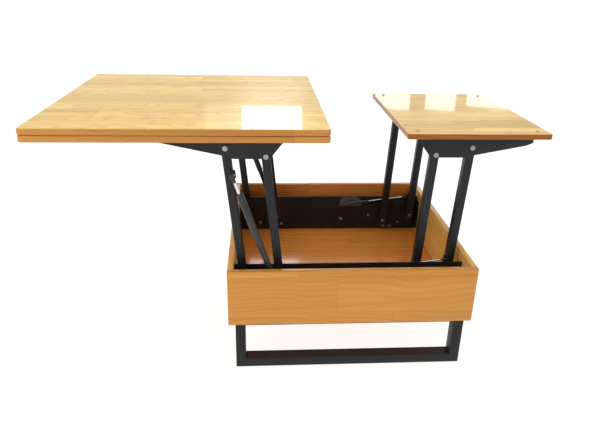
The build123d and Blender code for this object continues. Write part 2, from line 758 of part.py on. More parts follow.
def strut_fitting(size, length, stub_end, towards):
    """End fitting with an eye, and a stub that stops short of the arm's lug."""
    half = size.eye_width / 2
    stub = Pos(length, towards * (stub_end - half) / 2, 0) * Rot(90, 0, 0)
    stub = stub * Cylinder(size.pin, stub_end + half)
    head = Pos(length, -towards * (half + stub_head_height / 2), 0) * Rot(90, 0, 0)
    fitting = Pos(length, 0, 0) * Rot(90, 0, 0) * Cylinder(size.eye, size.eye_width)
    fitting += rod_along(length - strut_end_length + 6, length, size.neck)
    fitting += stub + head * Cylinder(size.eye - 1.5, stub_head_height)
    return fitting - rod_along(length - strut_end_length, length - size.eye - 2, size.rod)


def strut_sleeve(size, start, end):
    """Cover tube whose cap is pressed on the rod."""
    tube = rod_along(start, end, sleeve_radius) - rod_along(start, end - sleeve_cap, sleeve_bore)
    return tube - rod_along(end - sleeve_cap, end, size.rod)


def build_struts(name, size, anchor, length, angle, closed_length, cylinder_length, depth, stub_depth,
                 sleeved=False):
    """Front and back gas strut, each drawn along +X from its anchor with its eyes along Y."""
    cylinders, glands, rods, fittings = [], [], [], []
    tip = length - (closed_length - rod_tip_room)
    for side in SIDES:
        spot = Location((anchor[0], side * (half_width - depth), anchor[1]), (0, -angle, 0))
        towards = side * (1 if stub_depth < depth else -1)
        cylinders.append(spot * strut_cylinder(size, cylinder_length))
        glands.append(spot * strut_gland(size, cylinder_length))
        rods.append(spot * strut_rod(size, tip, length))
        fittings.append(spot * strut_fitting(size, length, abs(stub_depth - depth), towards))
        if sleeved:
            sleeve_end = length - strut_end_length - bare_rod_length
            fittings.append(spot * strut_sleeve(size, cylinder_length - sleeve_lap, sleeve_end))
    add(f"{name}_strut_cylinders", *(cylinders + glands))
    add(f"{name}_strut_rods", *rods)
    add(f"{name}_strut_end_fittings", *fittings)


def build_strut_mounts():
    """Half round plates on the side plates, and the studs on them that anchor the right struts."""
    west = right_anchor[0] - mount_anchor_inset
    east = west + mount_length
    high = plate_top - mount_top_gap
    low = high - mount_height
    eye_near = right_strut_depth - right_strut.eye_width / 2 - turning_gap
    eye_far = right_strut_depth + right_strut.eye_width / 2 + turning_gap
    mounts = []
    for side in SIDES:
        outline = make_face(Polyline((west, low), (east, low), (east, high), (west, high), close=True))
        corners = outline.vertices().filter_by(lambda vertex: vertex.Y > high - 1)
        face = plate_inner + mount_thickness
        mounts.append(layer(fillet(corners, mount_top_radius), plate_inner, face, side))
        stud = disc(right_anchor, face, eye_near, right_strut.eye - 1, side)
        stud += disc(right_anchor, face, eye_far + mount_cap_height, right_strut.pin, side)
        stud += disc(right_anchor, eye_far, eye_far + mount_cap_height, right_strut.eye - 1, side)
        mounts.append(stud)
    add("right_strut_mounts", *mounts)


def build_all_struts():
    """Both pairs of gas struts."""
    build_struts("left", left_strut, left_inner_low, left_strut_length, left_strut_angle,
                 left_strut_closed_length, left_cylinder_length, left_strut_depth, left_lug_outer - lug_gap,
                 sleeved=True)
    build_struts("right", right_strut, right_anchor, right_strut_length, right_strut_angle,
                 right_strut_closed_length, right_cylinder_length, right_strut_depth, right_lug_outer - lug_gap)


def write_nodes():
    """Move every node to the origin's frame and write one STEP file for each."""
    os.makedirs("parts", exist_ok=True)
    for name, solids in nodes.items():
        pieces = [Pos(-origin_x, 0, 0) * piece for solid in solids for piece in solid.solids()]
        shape = pieces[0] if len(pieces) == 1 else Compound(children=pieces)
        export_step(shape, f"parts/{name}.step")


build_box()
build_legs()
build_side_plates()
build_lower_pivots()
build_all_arms()
build_leaves()
build_left_bracket_set()
build_right_top()
build_strut_mounts()
build_all_struts()
write_nodes()
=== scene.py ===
"""Lift top coffee table: finishes, fittings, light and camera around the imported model.

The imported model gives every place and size. Boards, tubes and plates are copied from it with
softened edges, and the bolts, nuts and screws are made again by Geometry Nodes, with domed heads,
washers and driver recesses. Metres, +Z up, +X to the right, +Y to the back.
"""
from __future__ import annotations

import json
import logging
import math
from dataclasses import dataclass
from enum import Enum
from typing import Any, Iterable, Optional, Union

import bmesh
import bpy
import numpy as np
from mathutils import Matrix, Vector

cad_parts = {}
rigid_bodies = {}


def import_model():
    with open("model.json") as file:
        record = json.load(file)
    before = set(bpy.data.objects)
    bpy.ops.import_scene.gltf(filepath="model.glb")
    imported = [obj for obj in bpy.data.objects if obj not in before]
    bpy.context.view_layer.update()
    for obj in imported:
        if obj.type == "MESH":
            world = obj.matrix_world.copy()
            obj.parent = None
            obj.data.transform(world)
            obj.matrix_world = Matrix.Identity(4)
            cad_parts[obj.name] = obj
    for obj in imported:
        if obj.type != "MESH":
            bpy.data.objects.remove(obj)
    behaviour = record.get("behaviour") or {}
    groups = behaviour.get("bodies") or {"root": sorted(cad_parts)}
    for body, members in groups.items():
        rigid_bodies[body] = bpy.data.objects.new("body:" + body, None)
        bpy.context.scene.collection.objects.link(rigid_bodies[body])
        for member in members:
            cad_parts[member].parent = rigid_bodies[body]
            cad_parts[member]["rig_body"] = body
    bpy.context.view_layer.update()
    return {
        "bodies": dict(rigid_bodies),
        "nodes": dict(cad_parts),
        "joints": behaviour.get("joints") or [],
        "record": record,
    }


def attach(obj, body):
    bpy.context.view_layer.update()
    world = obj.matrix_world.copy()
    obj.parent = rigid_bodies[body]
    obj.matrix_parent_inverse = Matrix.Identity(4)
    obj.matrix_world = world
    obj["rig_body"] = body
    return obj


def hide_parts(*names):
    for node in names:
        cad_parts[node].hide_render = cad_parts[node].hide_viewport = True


log = logging.getLogger("lift_top_table")

Colour = tuple[float, float, float]
Value = Union[bpy.types.NodeSocket, float, int, tuple]

MERGE_DISTANCE = 2e-6
FLAT_ANGLE = math.radians(0.6)
SHARP_ANGLE = math.radians(32)
# The least turn between two faces whose edge is rounded.
ROUNDED_ANGLE = math.radians(50)
# A fastener's head is what stands out past this share of its greatest radius.
HEAD_SHARE = 0.8
# A head that is this near both ends is a nut.
NUT_MARGIN = 1e-4
DOME_SIDES, DOME_RINGS = 28, 16
CHAMFER_SIDES, CHAMFER_RINGS = 32, 20
SHANK_SIDES, BORE_SIDES, HEXAGON_SIDES = 16, 18, 6
# A domed head: its radius in washers, its ball's in domes, its recess's depth in dome heights,
# and a cross slot's length and width in recess sizes.
DOME_SHARE, BALL_SHARE, RECESS_DEPTH = 0.9, 1.04, 1.1
SLOT_LENGTH, SLOT_WIDTH = 2.0, 0.42
# A nut: the ball that takes its corners off, in nut radii and heights, and its bore's length.
CHAMFER_SHARE, CHAMFER_HEIGHT, BORE_LENGTH = 1.005, 1.25, 3.0

WHITE: Colour = (1.0, 1.0, 1.0)
RUBBED_PAINT: Colour = (0.16, 0.155, 0.15)
RUBBED_PLATING: Colour = (0.86, 0.85, 0.83)
STEEL_DUST: Colour = (0.42, 0.38, 0.33)
PLASTIC_DUST: Colour = (0.40, 0.37, 0.33)
# Painted shade: the dark brown that narrow hollows are darkened towards.
PAINTED_CREVICE_SHADE: Colour = (0.10, 0.035, 0.010)

# Pine: where a glue line starts to fade and has gone, and how dark it and a knot's core are.
GLUE_LINE = (0.0002, 0.0011)
GLUE_STRENGTH, KNOT_STRENGTH = 0.22, 0.85
# The trunk's length that staves are cut from, and how many lengths a row is slid by.
TRUNK_LENGTH, ROW_SLIDE = 23.0, 7.0
# Knots: how close together they are, and how far their cores and halos reach.
KNOT_SCALE, KNOT_CORE, KNOT_HALO = 5.5, (0.028, 0.05), (0.03, 0.30)
# How far the heart line lies to the side of a stave, and how deep below its face.
HEART_SIDE, HEART_LEAST_DEPTH, HEART_MORE_DEPTH = 0.16, 0.02, 0.07
# How far the rings wander, and how far a knot pushes them out.
RING_WANDER, KNOT_SWELL = 0.11, 0.018


class Lie(Enum):
    """Which way a board's grain runs, as object axes along, across and through it."""

    TOP = ("X", "Y", "Z")
    FRONT_WALL = ("X", "Z", "Y")
    SIDE_WALL = ("Y", "Z", "X")
    UPRIGHT = ("Z", "Y", "X")


class Axis(Enum):
    """The line that a row of fasteners points along."""

    X = 0
    Y = 1
    Z = 2


class Recess(Enum):
    """How a fastener's head is driven."""

    CROSS = "cross"
    HEXAGON = "hexagon"


# --- Node trees -------------------------------------------------------------------------


class NodeSheet:
    """A node tree with short ways to add, feed and join its nodes."""

    def __init__(self, tree: bpy.types.NodeTree) -> None:
        """Keep the tree.

        Args:
            tree: The shader or geometry node tree to build in.
        """
        self.tree = tree

    def add(self, kind: str, **settings: Any) -> bpy.types.Node:
        """Add a node.

        Args:
            kind: The node's type name.
            settings: Properties to set on it.

        Returns:
            The new node.
        """
        node = self.tree.nodes.new(kind)
        for name, value in settings.items():
            setattr(node, name, value)
        return node

    def feed(self, socket: bpy.types.NodeSocket, value: Value) -> None:
        """Join a socket to an input, or set the input's own value.

        Args:
            socket: The input.
            value: Another node's output, or a plain value.
        """
        if isinstance(value, bpy.types.NodeSocket):
            self.tree.links.new(value, socket)
        elif isinstance(value, tuple) and len(value) == 3 and socket.type == "RGBA":
            socket.default_value = (*value, 1.0)
        else:
            socket.default_value = value

    def fill(self, node: bpy.types.Node, **inputs: Value) -> bpy.types.Node:
        """Feed a node's inputs by name, with underscores for spaces.

        Args:
            node: The node to feed.
            inputs: Input names and what goes into them.

        Returns:
            The same node.
        """
        for name, value in inputs.items():
            self.feed(node.inputs[name.replace("_", " ")], value)
        return node

    def work(self, operation: str, *values: Value, clamp: bool = False) -> bpy.types.NodeSocket:
        """Work out a number.

        Args:
            operation: The Math node's operation.
            values: Its inputs, in order.
            clamp: Whether to keep the result between 0 and 1.

        Returns:
            The result's socket.
        """
        node = self.add("ShaderNodeMath", operation=operation, use_clamp=clamp)
        for socket, value in zip(node.inputs, values):
            self.feed(socket, value)
        return node.outputs[0]

    def plus(self, first: Value, second: Value, clamp: bool = False) -> bpy.types.NodeSocket:
        """Add two numbers."""
        return self.work("ADD", first, second, clamp=clamp)

    def minus(self, first: Value, second: Value) -> bpy.types.NodeSocket:
        """Take the second number from the first."""
        return self.work("SUBTRACT", first, second)

    def times(self, first: Value, second: Value, clamp: bool = False) -> bpy.types.NodeSocket:
        """Multiply two numbers."""
        return self.work("MULTIPLY", first, second, clamp=clamp)

    def around(self, base: Value, noise: Value, spread: Value,
               clamp: bool = False) -> bpy.types.NodeSocket:
        """Vary a value by a noise whose middle leaves it as it is.

        Args:
            base: The value.
            noise: The noise, from 0 to 1.
            spread: How far the value varies in all.
            clamp: Whether to keep the result between 0 and 1.

        Returns:
            The result's socket.
        """
        return self.plus(base, self.times(self.minus(noise, 0.5), spread), clamp=clamp)

    def vector(self, x: Value, y: Value, z: Value) -> bpy.types.NodeSocket:
        """Put three numbers together as a vector.

        Args:
            x: First part.
            y: Second part.
            z: Third part.

        Returns:
            The vector's socket.
        """
        node = self.fill(self.add("ShaderNodeCombineXYZ"), X=x, Y=y, Z=z)
        return node.outputs[0]

    def ramp(self, value: Value, low: Value, high: Value) -> bpy.types.NodeSocket:
        """Rise smoothly from 0 to 1 as a value goes from low to high.

        Args:
            value: The value to read.
            low: Where the result is 0.
            high: Where the result is 1.

        Returns:
            The result's socket.
        """
        node = self.add("ShaderNodeMapRange", interpolation_type="SMOOTHSTEP")
        self.feed(node.inputs["Value"], value)
        self.feed(node.inputs["From Min"], low)
        self.feed(node.inputs["From Max"], high)
        return node.outputs["Result"]

    def blend(self, share: Value, first: Value, second: Value,
              how: str = "MIX") -> bpy.types.NodeSocket:
        """Mix two colours.

        Args:
            share: How much of the second colour shows.
            first: The first colour.
            second: The second colour.
            how: The Mix node's blend type.

        Returns:
            The mixed colour's socket.
        """
        node = self.add("ShaderNodeMix", data_type="RGBA", blend_type=how)
        self.feed(node.inputs[0], share)
        self.feed(node.inputs[6], first)
        self.feed(node.inputs[7], second)
        return node.outputs[2]

    def noise(self, vector: Value, scale: Value, detail: float = 2.0,
              roughness: float = 0.5) -> bpy.types.NodeSocket:
        """Sample a noise texture.

        Args:
            vector: Where to sample it.
            scale: How fine it is.
            detail: How many layers it has.
            roughness: How strong the fine layers are.

        Returns:
            The noise value's socket.
        """
        node = self.add("ShaderNodeTexNoise")
        self.fill(node, Vector=vector, Scale=scale, Detail=detail, Roughness=roughness)
        return node.outputs[0]


def shader_group(name: str, inputs: dict[str, Value],
                 outputs: dict[str, str]) -> tuple[NodeSheet, Any, Any]:
    """Start a shader node group.

    Args:
        name: The group's name.
        inputs: Input names with their usual values; a tuple of four is a colour, of three a vector.
        outputs: Output names with their socket types.

    Returns:
        Its sheet, its input node and its output node.
    """
    tree = bpy.data.node_groups.new(name, "ShaderNodeTree")
    for label, value in inputs.items():
        kind = "NodeSocketFloat"
        if isinstance(value, tuple):
            kind = "NodeSocketColor" if len(value) == 4 else "NodeSocketVector"
        socket = tree.interface.new_socket(name=label, in_out="INPUT", socket_type=kind)
        socket.default_value = value
    for label, kind in outputs.items():
        tree.interface.new_socket(name=label, in_out="OUTPUT", socket_type=kind)
    sheet = NodeSheet(tree)
    return sheet, sheet.add("NodeGroupInput"), sheet.add("NodeGroupOutput")


def use_group(sheet: NodeSheet, tree: bpy.types.NodeTree, **inputs: Value) -> bpy.types.Node:
    """Place a shader node group in a material.

    Args:
        sheet: The material's sheet.
        tree: The group.
        inputs: What goes into its inputs, with underscores for spaces.

    Returns:
        The group node.
    """
    node = sheet.add("ShaderNodeGroup", node_tree=tree)
    return sheet.fill(node, **inputs)


def build_pine_group() -> bpy.types.NodeTree:
    """Make the figure of lacquered, edge glued pine.

    Returns:
        A group that reads a place with X along the grain, and puts out a colour,
        a height, a gloss mask and the share of knots.
    """
    sheet, given, made = shader_group(
        "Pine boards",
        {"Vector": (0.0, 0.0, 0.0), "Stave Width": 0.05, "Stave Length": 0.6, "Ring Pitch": 0.006,
         "Figure": 0.6, "Contrast": 0.25, "Knots": 0.2, "Seed": 0.0,
         "Pale": (0.6, 0.4, 0.2, 1.0), "Deep": (0.45, 0.22, 0.07, 1.0),
         "Knot": (0.12, 0.04, 0.015, 1.0)},
        {"Color": "NodeSocketColor", "Height": "NodeSocketFloat", "Gloss": "NodeSocketFloat"})
    get = given.outputs
    split = sheet.fill(sheet.add("ShaderNodeSeparateXYZ"), Vector=get["Vector"])
    along, across, through = split.outputs
    # Staves, and the lengths that each is joined from.
    row_place = sheet.plus(sheet.work("DIVIDE", across, get["Stave Width"]), get["Seed"])
    row = sheet.work("FLOOR", row_place)
    row_noise = sheet.add("ShaderNodeTexWhiteNoise", noise_dimensions="1D")
    sheet.feed(row_noise.inputs["W"], sheet.plus(row, get["Seed"]))
    slide = sheet.times(row_noise.outputs["Value"], ROW_SLIDE)
    length_place = sheet.plus(sheet.work("DIVIDE", along, get["Stave Length"]), slide)
    cell = sheet.work("FLOOR", length_place)
    stave = sheet.add("ShaderNodeTexWhiteNoise", noise_dimensions="3D")
    sheet.feed(stave.inputs["Vector"], sheet.vector(row, cell, get["Seed"]))
    tone = stave.outputs["Value"]
    chance = sheet.fill(sheet.add("ShaderNodeSeparateColor"), Color=stave.outputs["Color"])
    # Distance from the nearest glue line and the nearest end joint.
    side_share = sheet.work("PINGPONG", row_place, 0.5)
    side_gap = sheet.times(side_share, get["Stave Width"])
    end_gap = sheet.times(sheet.work("PINGPONG", length_place, 0.5), get["Stave Length"])
    seam = sheet.minus(1.0, sheet.ramp(sheet.work("MINIMUM", side_gap, end_gap), *GLUE_LINE))
    # Each length is cut from its own place in the tree.
    shifted = sheet.plus(along, sheet.times(tone, TRUNK_LENGTH))
    # Knots, longer along the grain, in some cells only.
    knot_place = sheet.vector(sheet.times(shifted, 0.55), across, sheet.times(through, 0.4))
    knots = sheet.add("ShaderNodeTexVoronoi", feature="F1")
    sheet.fill(knots, Vector=knot_place, Scale=KNOT_SCALE)
    knot_chance = sheet.fill(sheet.add("ShaderNodeSeparateColor"), Color=knots.outputs["Color"])
    present = sheet.work("LESS_THAN", knot_chance.outputs[0], get["Knots"])
    knot_gap = sheet.plus(knots.outputs["Distance"],
                         sheet.times(sheet.noise(knot_place, scale=60.0), 0.02))
    knot_core = sheet.times(present, sheet.minus(1.0, sheet.ramp(knot_gap, *KNOT_CORE)))
    knot_halo = sheet.times(present, sheet.minus(1.0, sheet.ramp(knot_gap, *KNOT_HALO)))
    # Growth rings about a heart line that wanders below the stave.
    heart_across = sheet.times(sheet.minus(chance.outputs[1], 0.5), HEART_SIDE)
    heart_through = sheet.plus(sheet.times(chance.outputs[2], HEART_MORE_DEPTH),
                               HEART_LEAST_DEPTH)

    def stretched(lengthwise: float, crosswise: float) -> bpy.types.NodeSocket:
        """Scale the place by one amount along the grain and another across it."""
        return sheet.vector(sheet.times(shifted, lengthwise), sheet.times(across, crosswise),
                            sheet.times(through, crosswise))

    wander = sheet.noise(stretched(1.6, 3.0), scale=1.3, detail=3.0)
    centre = sheet.times(sheet.plus(row, 0.5), get["Stave Width"])
    from_side = sheet.minus(sheet.minus(across, centre), heart_across)
    from_face = sheet.plus(through, heart_through)
    radius = sheet.work("SQRT", sheet.plus(sheet.times(from_side, from_side),
                                         sheet.times(from_face, from_face)))
    radius = sheet.plus(radius, sheet.times(wander, RING_WANDER))
    radius = sheet.plus(radius, sheet.times(knot_halo, KNOT_SWELL))
    turn = sheet.work("FRACT", sheet.work("DIVIDE", radius, get["Ring Pitch"]))
    late = sheet.work("POWER", turn, 2.6)
    late = sheet.times(late, sheet.minus(1.0, sheet.ramp(turn, 0.86, 1.0)))
    # Broad streaks and fine fibres.
    streak = sheet.noise(stretched(1.1, 34.0), scale=1.0, detail=4.0, roughness=0.6)
    fibre = sheet.noise(stretched(9.0, 420.0), scale=1.0, detail=3.0, roughness=0.6)
    figure = sheet.times(sheet.ramp(late, 0.0, 0.75), get["Figure"])
    figure = sheet.plus(figure, sheet.times(sheet.ramp(streak, 0.42, 0.72), 0.45))
    figure = sheet.around(figure, fibre, 0.35, clamp=True)
    figure = sheet.plus(figure, sheet.times(knot_halo, 0.35), clamp=True)
    colour = sheet.blend(figure, get["Pale"], get["Deep"])
    shade = sheet.around(1.0, tone, get["Contrast"])
    warm_shade = sheet.vector(shade, shade, sheet.work("POWER", shade, 1.4))
    colour = sheet.blend(1.0, colour, warm_shade, "MULTIPLY")
    colour = sheet.blend(sheet.times(knot_core, KNOT_STRENGTH), colour, get["Knot"])
    colour = sheet.blend(sheet.times(seam, GLUE_STRENGTH), colour, get["Knot"])
    height = sheet.minus(sheet.times(fibre, 0.25), sheet.times(seam, 0.5))
    height = sheet.minus(height, sheet.times(figure, 0.2))
    sheet.feed(made.inputs["Color"], colour)
    sheet.feed(made.inputs["Height"], height)
    sheet.feed(made.inputs["Gloss"], sheet.times(figure, sheet.minus(1.0, knot_core)))
    return sheet.tree


def build_edge_group() -> bpy.types.NodeTree:
    """Make the mask of worn edges, from how the surface turns nearby.

    Returns:
        A group with a radius and an amount in, and a mask out.
    """
    sheet, given, made = shader_group(
        "Edge wear", {"Radius": 0.002, "Amount": 1.0, "Patches": 30.0}, {"Mask": "NodeSocketFloat"})
    rounded = sheet.add("ShaderNodeBevel", samples=4)
    sheet.feed(rounded.inputs["Radius"], given.outputs["Radius"])
    surface = sheet.add("ShaderNodeNewGeometry")
    turned = sheet.add("ShaderNodeVectorMath", operation="DOT_PRODUCT")
    sheet.feed(turned.inputs[0], rounded.outputs[0])
    sheet.feed(turned.inputs[1], surface.outputs["Normal"])
    edge = sheet.ramp(sheet.minus(1.0, turned.outputs["Value"]), 0.02, 0.25)
    place = sheet.add("ShaderNodeTexCoord").outputs["Object"]
    patch = sheet.ramp(sheet.noise(place, scale=given.outputs["Patches"], detail=3.0), 0.38, 0.66)
    mask = sheet.times(sheet.times(edge, patch), given.outputs["Amount"], clamp=True)
    sheet.feed(made.inputs["Mask"], mask)
    return sheet.tree


def build_dust_group() -> bpy.types.NodeTree:
    """Make the mask of fine dust, which lies on what faces up.

    Returns:
        A group with an amount in, and a mask out.
    """
    sheet, given, made = shader_group(
        "Dust", {"Amount": 0.3, "Cover": 0.25}, {"Mask": "NodeSocketFloat"})
    surface = sheet.add("ShaderNodeNewGeometry")
    split = sheet.fill(sheet.add("ShaderNodeSeparateXYZ"), Vector=surface.outputs["Normal"])
    up = sheet.ramp(split.outputs[2], given.outputs["Cover"], 1.0)
    place = sheet.add("ShaderNodeTexCoord").outputs["Object"]
    cloud = sheet.noise(place, scale=14.0, detail=4.0, roughness=0.6)
    speck = sheet.noise(place, scale=900.0, detail=1.0)
    fall = sheet.times(sheet.ramp(cloud, 0.3, 0.75), sheet.ramp(speck, 0.35, 0.75))
    mask = sheet.times(sheet.times(up, fall), given.outputs["Amount"], clamp=True)
    sheet.feed(made.inputs["Mask"], mask)
    return sheet.tree


# --- Finishes ---------------------------------------------------------------------------


@dataclass(frozen=True)
class Effects:
    """The shader node groups that finishes share."""

    pine: bpy.types.NodeTree
    edge: bpy.types.NodeTree
    dust: bpy.types.NodeTree


class Finish:
    """A finish that makes its material once, and gives the record's slot it stands for."""

    name: str
    slot: str

    def material(self, effects: Effects) -> bpy.types.Material:
        """Find or make the material.

        Args:
            effects: The shared shader node groups.

        Returns:
            The material.
        """
        found = bpy.data.materials.get(self.name)
        if found:
            return found
        made = bpy.data.materials.new(self.name)
        made.use_nodes = True
        made.node_tree.nodes.clear()
        sheet = NodeSheet(made.node_tree)
        shader = sheet.add("ShaderNodeBsdfPrincipled")
        self.dress(sheet, shader, effects)
        output = sheet.add("ShaderNodeOutputMaterial")
        sheet.feed(output.inputs["Surface"], shader.outputs[0])
        return made

    def dress(self, sheet: NodeSheet, shader: bpy.types.Node, effects: Effects) -> None:
        """Feed the shader.

        Args:
            sheet: The material's sheet.
            shader: Its Principled BSDF.
            effects: The shared shader node groups.
        """
        raise NotImplementedError

    @staticmethod
    def bump(sheet: NodeSheet, shader: bpy.types.Node, height: Value, strength: float,
             distance: float) -> None:
        """Lift the surface by a height.

        Args:
            sheet: The material's sheet.
            shader: Its Principled BSDF.
            height: The height's socket.
            strength: How strong the bump is.
            distance: How deep it is, in metres.
        """
        node = sheet.fill(sheet.add("ShaderNodeBump"), Strength=strength, Distance=distance,
                          Height=height)
        sheet.feed(shader.inputs["Normal"], node.outputs[0])


@dataclass(frozen=True)
class PineFinish(Finish):
    """Lacquered pine, edge glued from staves."""

    name: str
    slot: str
    pale: Colour
    deep: Colour
    lie: Lie = Lie.TOP
    stave_width: float = 0.05
    stave_length: float = 0.6
    ring_pitch: float = 0.006
    figure: float = 0.6
    contrast: float = 0.25
    knots: float = 0.15
    seed: float = 0.0
    # Painted shade: a darker colour that multiplies every face that doesn't face up.
    painted_side_shade: Colour = WHITE
    roughness: float = 0.34
    coat: float = 0.5
    coat_roughness: float = 0.08
    knot: Colour = (0.13, 0.045, 0.014)
    under_shine: float = 0.2
    # Painted shade: how far ambient occlusion looks for the narrow hollows that it darkens, or 0
    # for none.
    crevice_shade_reach: float = 0.0

    def dress(self, sheet: NodeSheet, shader: bpy.types.Node, effects: Effects) -> None:
        """Feed the shader with the staves' figure, turned the way the board lies, and painted
        shade.

        Args:
            sheet: The material's sheet.
            shader: Its Principled BSDF.
            effects: The shared shader node groups.
        """
        place = sheet.add("ShaderNodeTexCoord").outputs["Object"]
        split = sheet.fill(sheet.add("ShaderNodeSeparateXYZ"), Vector=place)
        turned = sheet.vector(*(split.outputs[axis] for axis in self.lie.value))
        pine = use_group(sheet, effects.pine, Vector=turned, Stave_Width=self.stave_width,
                         Stave_Length=self.stave_length, Ring_Pitch=self.ring_pitch,
                         Figure=self.figure, Contrast=self.contrast, Knots=self.knots,
                         Seed=self.seed, Pale=self.pale, Deep=self.deep, Knot=self.knot)
        colour = pine.outputs["Color"]
        # Painted shade: faces that don't face up, such as edges and undersides, are multiplied by a
        # darker colour.
        if self.painted_side_shade != WHITE:
            surface = sheet.add("ShaderNodeNewGeometry")
            facing = sheet.fill(sheet.add("ShaderNodeSeparateXYZ"),
                                Vector=surface.outputs["Normal"])
            level = sheet.ramp(facing.outputs[2], 0.60, 0.97)
            side_shaded = sheet.blend(1.0, colour, self.painted_side_shade, "MULTIPLY")
            colour = sheet.blend(level, side_shaded, colour)
        # Painted shade: narrow hollows, such as the gap between the two leaves, are darkened
        # towards brown where ambient occlusion is low.
        if self.crevice_shade_reach:
            shelter = sheet.fill(sheet.add("ShaderNodeAmbientOcclusion", samples=8),
                                 Distance=self.crevice_shade_reach)
            crevice_shade_mask = sheet.minus(1.0, sheet.ramp(shelter.outputs["AO"], 0.28, 0.62))
            colour = sheet.blend(crevice_shade_mask, colour, PAINTED_CREVICE_SHADE)
        sheet.feed(shader.inputs["Base Color"], colour)
        rough = sheet.plus(self.roughness, sheet.times(pine.outputs["Gloss"], -0.08))
        smear = sheet.noise(place, scale=7.0, detail=3.0)
        sheet.feed(shader.inputs["Roughness"], sheet.around(rough, smear, 0.12))
        sheet.fill(shader, Coat_Weight=self.coat, Coat_Roughness=self.coat_roughness,
                   Coat_IOR=1.5, IOR=1.45, Specular_IOR_Level=self.under_shine)
        self.bump(sheet, shader, pine.outputs["Height"], strength=0.35,
                  distance=0.0002)


@dataclass(frozen=True)
class PaintedSteel(Finish):
    """Black paint or powder coat on steel, a little rubbed at its edges."""

    name: str
    slot: str
    colour: Colour
    roughness: float = 0.42
    peel: float = 650.0
    wear: float = 0.22
    dust: float = 0.05
    coat: float = 0.0

    def dress(self, sheet: NodeSheet, shader: bpy.types.Node, effects: Effects) -> None:
        """Feed the shader with a slightly cloudy coat, worn edges and dust.

        Args:
            sheet: The material's sheet.
            shader: Its Principled BSDF.
            effects: The shared shader node groups.
        """
        place = sheet.add("ShaderNodeTexCoord").outputs["Object"]
        cloud = sheet.noise(place, scale=11.0, detail=3.0)
        lift = tuple(part * 1.5 + 0.002 for part in self.colour)
        colour = sheet.blend(sheet.ramp(cloud, 0.3, 0.75), self.colour, lift)
        wear = use_group(sheet, effects.edge, Radius=0.0016, Amount=self.wear, Patches=26.0)
        colour = sheet.blend(wear.outputs["Mask"], colour, RUBBED_PAINT)
        dust = use_group(sheet, effects.dust, Amount=self.dust, Cover=0.2)
        colour = sheet.blend(dust.outputs["Mask"], colour, STEEL_DUST)
        sheet.feed(shader.inputs["Base Color"], colour)
        sheet.feed(shader.inputs["Roughness"], sheet.around(self.roughness, cloud, 0.25))
        sheet.fill(shader, Coat_Weight=self.coat, Coat_Roughness=0.12, Specular_IOR_Level=0.3)
        self.bump(sheet, shader, sheet.noise(place, scale=self.peel, detail=2.0), strength=0.18,
                  distance=0.0003)


@dataclass(frozen=True)
class BareMetal(Finish):
    """Plated or ground metal."""

    name: str
    slot: str
    colour: Colour
    shadow: Colour
    roughness: float = 0.28
    grain: tuple[float, float, float] = (260.0, 260.0, 260.0)

    def dress(self, sheet: NodeSheet, shader: bpy.types.Node, effects: Effects) -> None:
        """Feed the shader with a plating that is duller in patches.

        Args:
            sheet: The material's sheet.
            shader: Its Principled BSDF.
            effects: The shared shader node groups.
        """
        place = sheet.add("ShaderNodeTexCoord").outputs["Object"]
        mapping = sheet.fill(sheet.add("ShaderNodeMapping"), Vector=place, Scale=self.grain)
        fine = sheet.noise(mapping.outputs[0], scale=1.0, detail=3.0)
        patch = sheet.noise(place, scale=60.0, detail=3.0)
        wear = use_group(sheet, effects.edge, Radius=0.0006, Amount=0.4, Patches=120.0)
        colour = sheet.blend(sheet.ramp(patch, 0.35, 0.8), self.colour, self.shadow)
        colour = sheet.blend(wear.outputs["Mask"], colour, RUBBED_PLATING)
        sheet.feed(shader.inputs["Base Color"], colour)
        sheet.feed(shader.inputs["Roughness"], sheet.around(self.roughness, patch, 0.3))
        sheet.fill(shader, Metallic=1.0)
        self.bump(sheet, shader, fine, strength=0.12,
                  distance=0.0001)


@dataclass(frozen=True)
class Moulded(Finish):
    """Moulded plastic or rubber."""

    name: str
    slot: str
    colour: Colour
    roughness: float = 0.5
    texture: float = 900.0

    def dress(self, sheet: NodeSheet, shader: bpy.types.Node, effects: Effects) -> None:
        """Feed the shader with a fine spark texture and a little dust.

        Args:
            sheet: The material's sheet.
            shader: Its Principled BSDF.
            effects: The shared shader node groups.
        """
        place = sheet.add("ShaderNodeTexCoord").outputs["Object"]
        fine = sheet.noise(place, scale=self.texture, detail=2.0)
        lift = tuple(min(1.0, part * 1.35 + 0.006) for part in self.colour)
        colour = sheet.blend(sheet.ramp(fine, 0.3, 0.8), self.colour, lift)
        dust = use_group(sheet, effects.dust, Amount=0.15, Cover=0.3)
        colour = sheet.blend(dust.outputs["Mask"], colour, PLASTIC_DUST)
        sheet.feed(shader.inputs["Base Color"], colour)
        sheet.feed(shader.inputs["Roughness"], sheet.around(self.roughness, fine, 0.2))
        self.bump(sheet, shader, fine, strength=0.2,
                  distance=0.0002)


@dataclass(frozen=True)
class ClearSoft(Finish):
    """Clear soft plastic, as of a stick-on bumper."""

    name: str
    slot: str
    colour: Colour

    def dress(self, sheet: NodeSheet, shader: bpy.types.Node, effects: Effects) -> None:
        """Feed the shader with a faint cloud under a smooth clear skin.

        Args:
            sheet: The material's sheet.
            shader: Its Principled BSDF.
            effects: The shared shader node groups; not used.
        """
        place = sheet.add("ShaderNodeTexCoord").outputs["Object"]
        cloud = sheet.noise(place, scale=320.0, detail=2.0)
        deeper = tuple(part * 0.9 for part in self.colour)
        sheet.feed(shader.inputs["Base Color"], sheet.blend(cloud, self.colour, deeper))
        sheet.feed(shader.inputs["Roughness"], sheet.plus(0.12, sheet.times(cloud, 0.1)))
        sheet.fill(shader, Transmission_Weight=0.45, IOR=1.48)


